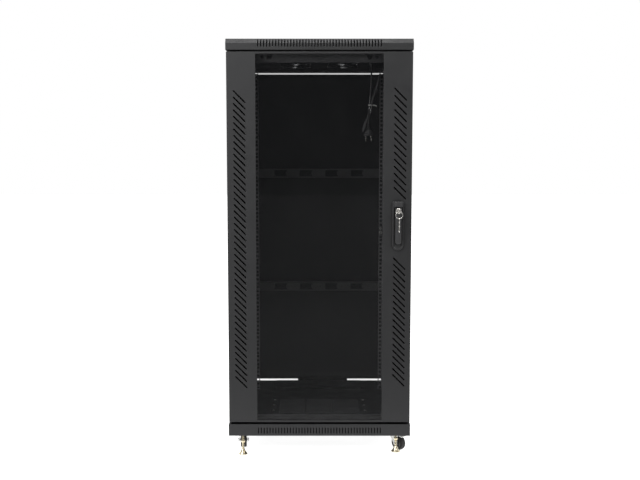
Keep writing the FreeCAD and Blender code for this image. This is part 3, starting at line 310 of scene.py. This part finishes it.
SLOT_LOOK = {
    "outer_powder_coat": OUTER, "frame_powder_coat": INNER, "door_glass": GLASS,
    "edge_tape": RUBBER, "black_steel": INNER, "zinc": ZINC, "chrome_wire": CHROME, "key_metal": NICKEL,
    "fan_plastic": FAN_BLACK, "handle_black": BLACK_PLASTIC, "handle_lever": LEVER_BLACK,
    "foot_zinc": YELLOW_ZINC, "tyre_black": RUBBER, "cord_black": CORD_BLACK,
    "tie_white": NYLON, "plug_black": PLUG_BLACK, "plug_metal": NICKEL,
}
NODE_LOOK = {
    "plinth": DEEP_SLOT_SHADE, "roof_cover": DEEP_SLOT_SHADE, "rear_door": REAR, "frame_beams": BEAM,
    "lacing_bars": BEAM, **{"mounting_rail_" + corner: RAIL for corner in CORNERS},
}


def paint_cad_nodes():
    """A node's own look where it has one, and else the look of its material slot."""
    for row in frame["record"]["subparts"]:
        look = NODE_LOOK.get(row["node"], SLOT_LOOK[row["material_slot"]])
        for material_slot in NODES[row["node"]].material_slots:
            material_slot.material = look


paint_cad_nodes()


# ---- mesh helpers -------------------------------------------------------
SMOOTH_ANGLE = math.radians(32)


def finished_mesh(name, shape):
    """A mesh from a bmesh, smooth except where it turns sharply."""
    bmesh.ops.remove_doubles(shape, verts=shape.verts, dist=1e-7)
    bmesh.ops.recalc_face_normals(shape, faces=shape.faces)
    mesh = bpy.data.meshes.new(name)
    shape.to_mesh(mesh)
    shape.free()
    mesh.shade_smooth()
    mesh.set_sharp_from_angle(angle=SMOOTH_ANGLE)
    return mesh


def bridge(shape, low, high, closed=True):
    """Quads between two rows of vertices of equal length."""
    count = len(low)
    for i in range(count if closed else count - 1):
        j = (i + 1) % count
        shape.faces.new((low[i], low[j], high[j], high[i]))


def stack(shape, rings, cap_start=True, cap_end=True):
    """Join rings of points into a tube, with flat ends."""
    rows = [[shape.verts.new(p) for p in ring] for ring in rings]
    for low, high in zip(rows, rows[1:]):
        bridge(shape, low, high)
    if cap_start:
        shape.faces.new(rows[0])
    if cap_end:
        shape.faces.new(rows[-1])


def lathe(shape, outline, base, axis=UP, steps=40):
    """Turn an outline of (radius, height) points in millimetres about an axis."""
    turn = Vector(UP).rotation_difference(Vector(axis)).to_matrix()
    rows = []
    for radius, height in outline:
        count = 1 if radius == 0 else steps
        row = []
        for i in range(count):
            angle = math.tau * i / steps
            local = Vector((radius * math.cos(angle), radius * math.sin(angle), height)) * MM
            row.append(shape.verts.new(Vector(base) + turn @ local))
        rows.append(row)
    for low, high in zip(rows, rows[1:]):
        if len(low) == len(high):
            bridge(shape, low, high)
            continue
        tip, ring = (low[0], high) if len(low) == 1 else (high[0], low)
        for i in range(steps):
            shape.faces.new((tip, ring[i], ring[(i + 1) % steps]))


def closed_lathe(shape, outline, base, axis=UP, steps=40):
    """A lathe whose outline closes on itself, for rings and bushes."""
    lathe(shape, list(outline) + [outline[0]], base, axis, steps)


def hex_nut(shape, base, across, height, bore, axis=UP):
    """Chamfered hexagon nut; the hexagon's corners are cut by two cones. The bore is a radius."""
    turn = Vector(UP).rotation_difference(Vector(axis)).to_matrix()
    steps = 36
    corner = across / math.sqrt(3)
    flat = across / 2

    def ring(height_at, limit):
        points = []
        for i in range(steps):
            angle = math.tau * i / steps
            to_flat = (angle + math.pi / 6) % (math.pi / 3) - math.pi / 6
            radius = min(flat / math.cos(to_flat), limit)
            local = Vector((radius * math.cos(angle), radius * math.sin(angle), height_at)) * MM
            points.append(Vector(base) + turn @ local)
        return points

    chamfer = height * 0.13
    rings = [ring(0, bore), ring(0, flat * 0.97), ring(chamfer, corner * 0.985),
             ring(height - chamfer, corner * 0.985), ring(height, flat * 0.97), ring(height, bore)]
    stack(shape, rings + [rings[0]], False, False)


def rounded_outline(x0, x1, z0, z1, low_r, high_r, per_corner=8):
    """Corner-rounded rectangle as (x, z) points, the same number for any radii."""
    corners = ((x1 - low_r, z0 + low_r, low_r, -90), (x1 - high_r, z1 - high_r, high_r, 0),
               (x0 + high_r, z1 - high_r, high_r, 90), (x0 + low_r, z0 + low_r, low_r, 180))
    points = []
    for cx, cz, r, start in corners:
        for i in range(per_corner + 1):
            angle = math.radians(start + 90 * i / per_corner)
            points.append((cx + r * math.cos(angle), cz + r * math.sin(angle)))
    return points


def upright_ring(outline, depth):
    """Points of an (x, z) outline at one depth."""
    return [at(x, depth, z) for x, z in outline]


def piece(name, mesh, body, material):
    """Link a mesh or curve as a piece that rides on a body."""
    made = bpy.data.objects.new(name, mesh)
    bpy.context.collection.objects.link(made)
    mesh.materials.append(material)
    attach(made, body)
    return made


# ---- casters ------------------------------------------------------------
TREAD_HALF = 10.5
HUB_WEBS = 6
WEB_HALF = 0.9
WEB_REACH = (7.0, 16.0)
WEB_OUT = (5.0, 8.2)
AXLE_HEAD = -18.4
AXLE_NUT = 15.6
PLATE_BOLT = 22
PLATE_UNDER = 62.2


def placed(local, corner):
    """Move a point in mm from a caster's own frame, trail along +X, to its corner."""
    angle = math.radians(CASTER_TURN[corner])
    side, rear = CORNERS[corner]
    x = side * CASTER_X + local[0] * math.cos(angle) - local[1] * math.sin(angle)
    middle = DEPTH - CASTER_D if rear else CASTER_D
    return at(x, middle + local[0] * math.sin(angle) + local[1] * math.cos(angle), local[2])


def axle_direction(corner):
    angle = math.radians(CASTER_TURN[corner])
    return Vector((-math.sin(angle), math.cos(angle), 0))


def caster_wheel(corner):
    """Black tread on a grey hub with webs, and a bearing cap on each face."""
    base = placed((WHEEL_TRAIL, 0, WHEEL_R), corner)
    axle = axle_direction(corner)
    body = "caster_wheel_" + corner
    tread = bmesh.new()
    r, w = WHEEL_R, TREAD_HALF
    closed_lathe(tread, [(17.2, -w + 1.4), (r - 5, -w + 0.2), (r - 2.4, -w + 0.6), (r - 0.9, -w + 1.9),
                         (r - 0.15, -w + 4.2), (r, 0), (r - 0.15, w - 4.2), (r - 0.9, w - 1.9),
                         (r - 2.4, w - 0.6), (r - 5, w - 0.2), (17.2, w - 1.4)], base, axle, 72)
    name = "caster_tread_" + corner
    tyre = piece(name, finished_mesh(name, tread), body, RUBBER)
    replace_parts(tyre, body)
    hub = bmesh.new()
    closed_lathe(hub, [(3.1, -11), (6.2, -11.3), (7.2, -10.6), (7.8, -6.5), (14.5, -5.5), (15.4, -8.6),
                       (16.4, -9.3), (17.3, -9.0), (17.3, 9.0), (16.4, 9.3), (15.4, 8.6), (14.5, 5.5),
                       (7.8, 6.5), (7.2, 10.6), (6.2, 11.3), (3.1, 11)], base, axle, 60)
    for side in (-1, 1):
        for i in range(HUB_WEBS):
            web(hub, corner, side, math.tau * i / HUB_WEBS)
    name = "caster_hub_" + corner
    piece(name, finished_mesh(name, hub), body, HUB_GREY)


def web(shape, corner, side, angle):
    """A stiffening web in the hub's recess."""
    near, far = WEB_OUT
    rings = []
    for radius in WEB_REACH:
        ring = []
        for across, out in ((-WEB_HALF, near), (WEB_HALF, near), (WEB_HALF, far), (-WEB_HALF, far)):
            x = WHEEL_TRAIL + radius * math.cos(angle) - across * math.sin(angle)
            z = WHEEL_R + radius * math.sin(angle) + across * math.cos(angle)
            ring.append(placed((x, side * out, z), corner))
        rings.append(ring)
    stack(shape, rings)


def caster_trim(corner):
    """Axle bolt head and nut, and the two rolled rings of the swivel race."""
    axle = axle_direction(corner)
    king_pin = placed((0, 0, 0), corner)
    shape = bmesh.new()
    hex_nut(shape, placed((WHEEL_TRAIL, AXLE_HEAD, WHEEL_R), corner), 10.0, 3.0, 0.4, axle)
    hex_nut(shape, placed((WHEEL_TRAIL, AXLE_NUT, WHEEL_R), corner), 10.0, 3.4, 3.0, axle)
    closed_lathe(shape, [(22.4, 61.8), (23.6, 62.2), (24.2, 63.4), (23.8, 64.6), (22.4, 65.0)],
                 king_pin, UP, 56)
    closed_lathe(shape, [(18.0, 65.2), (21.4, 65.3), (22.2, 66.0), (21.4, 66.7), (18.0, 66.7)],
                 king_pin, UP, 56)
    name = "caster_trim_" + corner
    piece(name, finished_mesh(name, shape), "caster_fork_" + corner, ZINC)


def caster_bolts():
    """Flange bolt heads on the four caster plates."""
    shape = bmesh.new()
    for corner in CORNERS:
        for across in (-PLATE_BOLT, PLATE_BOLT):
            for along in (-PLATE_BOLT, PLATE_BOLT):
                base = near_corner(corner, CASTER_X + across, CASTER_D + along, PLATE_UNDER)
                hex_nut(shape, base, 9.0, 4.0, 0.4)
                lathe(shape, [(0, 4.0), (6.2, 4.0), (6.2, 4.6), (5.4, 5.3), (0, 5.3)], base, UP, 24)
    piece("caster_bolts", finished_mesh("caster_bolts", shape), "cabinet", ZINC)


# ---- levelling feet -----------------------------------------------------
PITCH = 1.5
CREST_R = 4.0
ROOT_R = 3.35
THREAD_Z = (19.5, 82.0)


def levelling_foot(corner):
    """Bell-shaped sole, threaded stud and the lock nut run down on it."""
    base = near_corner(corner, FOOT_X, FOOT_D, RAISED_FOOT if corner == "front_right" else 0)
    shape = bmesh.new()
    outline = [(0, 0.6), (12.4, 0.5), (13.2, 0), (14.5, 0), (15.0, 0.7), (14.9, 1.8), (13.9, 3.0),
               (11.4, 5.6), (9.3, 8.6), (7.9, 11.4), (6.6, 14.6), (5.4, 17.6), (4.7, 18.8), (ROOT_R, 19.0)]
    start, end = THREAD_Z
    for i in range(int((end - start) / PITCH)):
        low = start + i * PITCH
        outline += [(ROOT_R, low), (CREST_R, low + PITCH * 0.5), (ROOT_R, low + PITCH * 0.98)]
    outline += [(3.0, 83.6), (0, 84.0)]
    lathe(shape, outline, base)
    hex_nut(shape, base + Vector((0, 0, LOCK_NUT_Z * MM)), NUT_ACROSS, 6.0, 3.9)
    name = "levelling_foot_" + corner
    foot = piece(name, finished_mesh(name, shape), "foot_" + corner, YELLOW_ZINC)
    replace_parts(foot, "foot_" + corner)


def weld_nuts():
    """Nuts under the plinth that the feet screw into."""
    shape = bmesh.new()
    for corner in CORNERS:
        hex_nut(shape, near_corner(corner, FOOT_X, FOOT_D, WELD_NUT_Z), NUT_ACROSS, 8.0, 4.1)
    nuts = piece("weld_nuts", finished_mesh("weld_nuts", shape), "cabinet", ZINC)
    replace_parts(nuts, "foot_nuts")


# ---- swing handle -------------------------------------------------------
BASE_SHAPE = (18.0, 687, 846, 5)
DISH_SHAPE = (13.5, 692, 825, 3)
GRIP_SHAPE = (10.0, 707, 826, 4.8)
BLOCK_HALF = 13
BLOCK_Z = (828, 844)
BLOCK_R = 4
CROSS_PIN_R = 1.45
CROSS_PIN_HALF = 8
CROSS_PIN_Z = 712
TONGUE_SLOT = 3.4
TONGUE_SLOT_TOP = 724.0


def tablet(half, z0, z1, top_r, inset):
    """Front outline with a half-round bottom, as (x, z) points."""
    h = half - inset
    return rounded_outline(HANDLE_X - h, HANDLE_X + h, z0 + inset, z1 - inset, h,
                           max(top_r - inset, 0.6), 12)


def handle_dish():
    """Moulded base: rolled rim, sunk dish and a raised lock block at the top."""
    shape = bmesh.new()
    rim = [(0.0, -0.02), (0.0, -4.8), (0.5, -6.1), (1.6, -6.9), (2.6, -7.0)]
    well = [(-0.7, -7.0), (0.0, -6.6), (0.5, -4.4), (1.2, -4.0)]
    stack(shape, [upright_ring(tablet(*BASE_SHAPE, inset), depth) for inset, depth in rim]
          + [upright_ring(tablet(*DISH_SHAPE, inset), depth) for inset, depth in well])
    mesh = finished_mesh("handle_dish", shape)
    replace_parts(piece("handle_dish", mesh, "front_door", BLACK_PLASTIC), "handle_base")
    block = bmesh.new()
    rings = []
    for inset, depth in ((0.0, -6.9), (0.0, -16.4), (0.5, -18.0), (1.6, -18.8), (3.0, -19.0)):
        half, corner_r = BLOCK_HALF - inset, BLOCK_R - inset
        outline = rounded_outline(HANDLE_X - half, HANDLE_X + half, BLOCK_Z[0] + inset, BLOCK_Z[1] - inset,
                                  corner_r, corner_r)
        rings.append(upright_ring(outline, depth))
    stack(block, rings)
    piece("handle_block", finished_mesh("handle_block", block), "front_door", LEVER_BLACK)


def slotted_tablet(half, z0, z1, top_r, inset):
    """The same outline, split at its foot by the slot that takes the spindle's tongue."""
    h = half - inset
    low = z0 + inset + h - math.sqrt(h * h - TONGUE_SLOT * TONGUE_SLOT)
    left, right = HANDLE_X - TONGUE_SLOT, HANDLE_X + TONGUE_SLOT
    arc = tablet(half, z0, z1, top_r, inset)[4:-4]
    return [(right, low)] + arc + [(left, low), (left, TONGUE_SLOT_TOP), (right, TONGUE_SLOT_TOP)]


def handle_grip():
    """Lever with a crowned front, a slot and cross pin at its foot, and a bezel round the lock."""
    shape = bmesh.new()
    back = [(1.2, -7.4), (0.2, -7.8), (0.0, -9.0), (0.0, -15.2), (0.45, -17.4)]
    stack(shape, [upright_ring(slotted_tablet(*GRIP_SHAPE, inset), depth) for inset, depth in back])
    crown = [(0.45, -17.4), (1.6, -19.2), (3.0, -19.85), (4.6, -20.0)]
    stack(shape, [upright_ring(tablet(*GRIP_SHAPE, inset), depth) for inset, depth in crown])
    lathe(shape, [(0, -CROSS_PIN_HALF), (CROSS_PIN_R, -CROSS_PIN_HALF), (CROSS_PIN_R, CROSS_PIN_HALF),
                  (0, CROSS_PIN_HALF)], at(HANDLE_X, -13, CROSS_PIN_Z), (1, 0, 0), 20)
    mesh = finished_mesh("handle_grip", shape)
    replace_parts(piece("handle_grip", mesh, "handle_lever", LEVER_BLACK), "handle_lever")
    bezel = bmesh.new()
    closed_lathe(bezel, [(7.1, 0), (8.9, 0), (8.9, 0.5), (8.3, 1.0), (7.4, 1.0), (7.1, 0.6)],
                 at(HANDLE_X, -19.9, LOCK_Z), (0, -1, 0))
    piece("lock_bezel", finished_mesh("lock_bezel", bezel), "handle_lever", NICKEL)


# ---- fans ---------------------------------------------------------------
BLADES = 7
BLADE_HALF = 0.55
ROOT_AND_TIP = (19.0, 52.0)
GRID_ROWS = 9
GRID_COLUMNS = 8


def blade_face(shape, x, turn, offset):
    """One face of a cambered, swept blade, as a grid of vertices from root to tip."""
    root, tip = ROOT_AND_TIP
    grid = []
    for i in range(GRID_ROWS):
        out = i / (GRID_ROWS - 1)
        radius = root + (tip - root) * out
        chord = math.radians(44 - 6 * out)
        sweep = math.radians(16) * out ** 1.5
        row = []
        for j in range(GRID_COLUMNS):
            t = j / (GRID_COLUMNS - 1) - 0.5
            angle = turn + chord * t + sweep
            z = 8.0 + 12.0 * t + 1.8 * math.cos(math.pi * t) + offset
            place = at(x + radius * math.cos(angle), FAN_D + radius * math.sin(angle), FAN_Z0 + z)
            row.append(shape.verts.new(place))
        grid.append(row)
    for low, high in zip(grid, grid[1:]):
        bridge(shape, low, high, closed=False)
    return grid


def rim_of(grid):
    """The vertices round the outside of a grid, in order."""
    return [*grid[0], *[row[-1] for row in grid[1:]], *grid[-1][-2::-1], *[row[0] for row in grid[-2:0:-1]]]


def fan_impeller(side_name, side):
    """Hub and seven cambered blades."""
    x = side * FAN_X
    shape = bmesh.new()
    lathe(shape, [(0, 0.6), (17.6, 0.6), (19.4, 1.2), (20.0, 2.6), (20.0, 16.0), (0, 16.0)],
          at(x, FAN_D, FAN_Z0), UP, 56)
    for blade in range(BLADES):
        turn = math.tau * blade / BLADES
        under = blade_face(shape, x, turn, -BLADE_HALF)
        over = blade_face(shape, x, turn, BLADE_HALF)
        bridge(shape, rim_of(under), rim_of(over))
    name = "fan_impeller_" + side_name
    rotor = "fan_rotor_" + side_name
    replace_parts(piece(name, finished_mesh(name, shape), rotor, FAN_BLACK), rotor)


# ---- what hangs on the fan lead -----------------------------------------
GLAND_RIBS = 6
PLUG_RIBS = 6
PLUG_FLUTES = 14
PIN_X = 9.5
PIN_TIP = -63.4
TIE_PLACE = (183.7, 298.6, 1178.0)
TAIL_HALF = 1.75
TAIL_STEPS = 8


def gland_boot():
    """Cable gland: lock nut against the ceiling and a ribbed, tapered sleeve."""
    x, depth, z = CORD_ROUTE[0]
    shape = bmesh.new()
    hex_nut(shape, at(x, depth, z + 23.0), 18.0, 7.0, 5.0)
    outline = [(3.1, 0.0), (3.9, 0.0)]
    for i in range(GLAND_RIBS):
        low = 0.6 + i * 3.5
        r = 4.0 + 0.38 * i
        outline += [(r, low), (r + 0.35, low + 0.5), (r + 0.35, low + 2.2), (r - 0.1, low + 2.7),
                    (r - 0.1, low + 3.2)]
    outline += [(6.6, 22.2), (7.6, 22.6), (7.6, 24.0), (3.1, 24.0)]
    closed_lathe(shape, outline, at(x, depth, z), UP, 36)
    mesh = finished_mesh("gland_boot", shape)
    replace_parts(piece("gland_boot", mesh, "cabinet", PLUG_BLACK), "cord_gland")


def flute(shape, base, angle):
    """One raised rib along the plug's grip."""
    rings = []
    for height, radius in ((-24.5, 11.8), (-34.2, 13.5)):
        ring = []
        for across, out in ((-0.7, -0.4), (0.7, -0.4), (0.5, 0.8), (-0.5, 0.8)):
            r = (radius + out) * MM
            c, s = math.cos(angle), math.sin(angle)
            ring.append(base + Vector((r * c - across * MM * s, r * s + across * MM * c, height * MM)))
        rings.append(ring)
    stack(shape, rings)


def plug():
    """Round two-pin plug with a ribbed sleeve, a fluted grip and a flange."""
    base = at(*CORD_ROUTE[-1])
    shape = bmesh.new()
    outline = [(3.05, 0), (4.1, -0.4)]
    for i in range(PLUG_RIBS):
        low = -0.8 - i * 3.3
        r = 4.2 + 0.3 * i
        outline += [(r + 0.3, low), (r + 0.4, low - 1.9), (r - 0.1, low - 2.3), (r - 0.1, low - 2.9)]
    outline += [(6.3, -21.2), (9.6, -21.8), (11.6, -23.0), (12.4, -25.2), (13.3, -33.6), (14.2, -35.2),
                (17.6, -36.4), (18.4, -37.4), (18.4, -42.2), (17.6, -43.4), (16.4, -44.4), (0, -44.4)]
    lathe(shape, outline, base, UP, 56)
    for i in range(PLUG_FLUTES):
        flute(shape, base, math.tau * i / PLUG_FLUTES)
    shell = piece("plug_shell", finished_mesh("plug_shell", shape), "cabinet", PLUG_BLACK)
    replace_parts(shell, "plug_body")
    pins = bmesh.new()
    for side in (-1, 1):
        tip = base + Vector((side * PIN_X * MM, 0, PIN_TIP * MM))
        lathe(pins, [(0, 0), (1.2, 0.15), (2.0, 0.7), (2.4, 1.9), (2.4, 19.0), (0, 19.0)], tip, UP, 28)
    prongs = piece("plug_prongs", finished_mesh("plug_prongs", pins), "cabinet", NICKEL)
    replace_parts(prongs, "plug_pins")
    return shell, prongs


def tie():
    """Nylon cable tie: band round the strands, ratchet head and a cut tail."""
    x, d, z = TIE_PLACE
    shape = bmesh.new()
    closed_lathe(shape, [(7.85, -1.6), (8.1, -1.85), (8.8, -1.85), (9.0, -1.6), (9.0, 1.6), (8.8, 1.85),
                         (8.1, 1.85), (7.85, 1.6)], at(x, d, z))
    head = []
    for inset, depth in ((0.5, d - 2.6), (0.0, d - 2.1), (0.0, d + 2.1), (0.5, d + 2.6)):
        outline = rounded_outline(x + 8.0 + inset, x + 12.8 - inset, z - 2.5 + inset, z + 2.5 - inset,
                                  1.1 - inset, 1.1 - inset, 4)
        head.append(upright_ring(outline, depth))
    stack(shape, head)
    tail = []
    for i in range(TAIL_STEPS + 1):
        t = i / TAIL_STEPS
        cx, cz = x + 12.4 + 9.6 * t, z - 3.6 * t ** 1.3
        tail.append([at(cx, depth, cz + up) for depth, up in ((d - 1.8, -TAIL_HALF), (d - 0.7, -TAIL_HALF),
                                                              (d - 0.7, TAIL_HALF), (d - 1.8, TAIL_HALF))])
    stack(shape, tail)
    made = piece("lead_tie", finished_mesh("lead_tie", shape), "cabinet", NYLON)
    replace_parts(made, "cable_tie")
    return made


# ---- fan lead -----------------------------------------------------------
CORD_D = 6.0
CORD_ROUTE = [
    (186.0, 300.0, 1297.0), (186.0, 300.0, 1263.0), (183.6, 298.6, 1228.0),
    (180.6, 296.9, 1192.0), (179.8, 296.6, 1162.0), (173.0, 290.0, 1136.0),
    (167.0, 280.5, 1117.0), (162.0, 278.5, 1098.5), (157.0, 290.5, 1086.0),
    (155.5, 308.0, 1086.0), (158.5, 321.0, 1098.5), (166.0, 321.0, 1119.0),
    (177.0, 312.0, 1140.0), (183.2, 303.0, 1163.0), (184.0, 302.8, 1192.0),
    (193.0, 311.0, 1222.0), (205.5, 319.0, 1248.0), (213.0, 320.5, 1272.5),
    (216.0, 307.0, 1286.0), (215.0, 289.5, 1286.0), (212.0, 277.0, 1273.0),
    (207.0, 277.5, 1249.0), (198.0, 285.0, 1222.0), (187.6, 295.8, 1193.0),
    (186.6, 296.8, 1160.0), (177.0, 300.0, 1136.0), (177.0, 300.0, 1113.0)]


def fan_lead():
    """The cord itself, on the same smooth route as its plain solid."""
    curve = bpy.data.curves.new("fan_lead", "CURVE")
    curve.dimensions = "3D"
    spline = curve.splines.new("NURBS")
    spline.points.add(len(CORD_ROUTE) - 1)
    for point, place in zip(spline.points, CORD_ROUTE):
        point.co = (*at(*place), 1)
    spline.order_u = 3
    spline.use_endpoint_u = True
    spline.resolution_u = 10
    curve.bevel_depth = CORD_D / 2 * MM
    curve.bevel_resolution = 6
    lead = piece("fan_lead", curve, "cabinet", CORD_BLACK)
    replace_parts(lead, "fan_cord")
    plug()
    tie()


# ---- everything that is made here ---------------------------------------
for corner_name in CORNERS:
    levelling_foot(corner_name)
    caster_wheel(corner_name)
    caster_trim(corner_name)
weld_nuts()
caster_bolts()
handle_dish()
handle_grip()
fan_impeller("left", -1)
fan_impeller("right", 1)
gland_boot()
fan_lead()


# ---- stage --------------------------------------------------------------
FRONT_SKY = 0.22
FLOOR_GREY = 0.42
FLOOR_WHITE = 0.85
FLOOR_GLOW = (0.12, 0.9)
FLOOR_HALF = 30


def make_world():
    """White all round, and dimmer on the side that the front door faces."""
    world = bpy.data.worlds.new("studio")
    world.use_nodes = True
    tree = world.node_tree
    background = tree.nodes["Background"]
    background.inputs["Color"].default_value = (1, 1, 1, 1)
    split = tree.nodes.new("ShaderNodeSeparateXYZ")
    tree.links.new(tree.nodes.new("ShaderNodeTexCoord").outputs["Generated"], split.inputs[0])
    level = tree.nodes.new("ShaderNodeMapRange")
    for key, number in (("From Min", -0.35), ("From Max", 0.25), ("To Min", FRONT_SKY), ("To Max", 1.0)):
        level.inputs[key].default_value = number
    tree.links.new(split.outputs["Y"], level.inputs["Value"])
    tree.links.new(level.outputs["Result"], background.inputs["Strength"])
    bpy.context.scene.world = world
    bpy.context.scene.view_settings.view_transform = "Standard"


def make_floor():
    """Pale floor that fades to white towards and behind the cabinet."""
    mesh = bpy.data.meshes.new("floor")
    shape = bmesh.new()
    bmesh.ops.create_grid(shape, x_segments=1, y_segments=1, size=FLOOR_HALF)
    shape.to_mesh(mesh)
    shape.free()
    floor = bpy.data.objects.new("floor", mesh)
    bpy.context.collection.objects.link(floor)
    paint = Paint("floor_white", (FLOOR_WHITE,) * 3, 0.9)
    split = paint.add("ShaderNodeSeparateXYZ")
    paint.link(paint.where, split.inputs[0])
    near = paint.ramp(split.outputs["Y"], -0.95, -0.5, 0.0, 1.0)
    paint.color(paint.blend(near, (FLOOR_GREY,) * 3, (FLOOR_WHITE,) * 3))
    paint.shader.inputs["Specular IOR Level"].default_value = 0.0
    paint.shader.inputs["Emission Color"].default_value = (1, 1, 1, 1)
    glow = paint.ramp(split.outputs["Y"], -0.5, -0.25, *FLOOR_GLOW)
    paint.link(glow, paint.shader.inputs["Emission Strength"])
    mesh.materials.append(paint.material)


def area_light(name, place, target, size, power):
    data = bpy.data.lights.new(name, "AREA")
    data.energy = power
    data.shape = "RECTANGLE"
    data.size, data.size_y = size
    lamp = bpy.data.objects.new(name, data)
    lamp.location = place
    lamp.rotation_mode = "QUATERNION"
    lamp.rotation_quaternion = (Vector(target) - Vector(place)).to_track_quat("-Z", "Y")
    bpy.context.collection.objects.link(lamp)


make_world()
make_floor()
area_light("key", (-1.7, -2.4, 3.0), (0, 0, 1.0), (1.6, 1.2), 42)
area_light("front", (-1.9, -2.5, 1.7), (0.1, 0, 1.15), (0.7, 0.9), 30)
area_light("fill", (2.2, -2.6, 2.4), (0, 0, 0.9), (1.2, 1.4), 22)
area_light("top", (0, -0.9, 3.6), (0, 0, 1.3), (1.8, 1.2), 34)
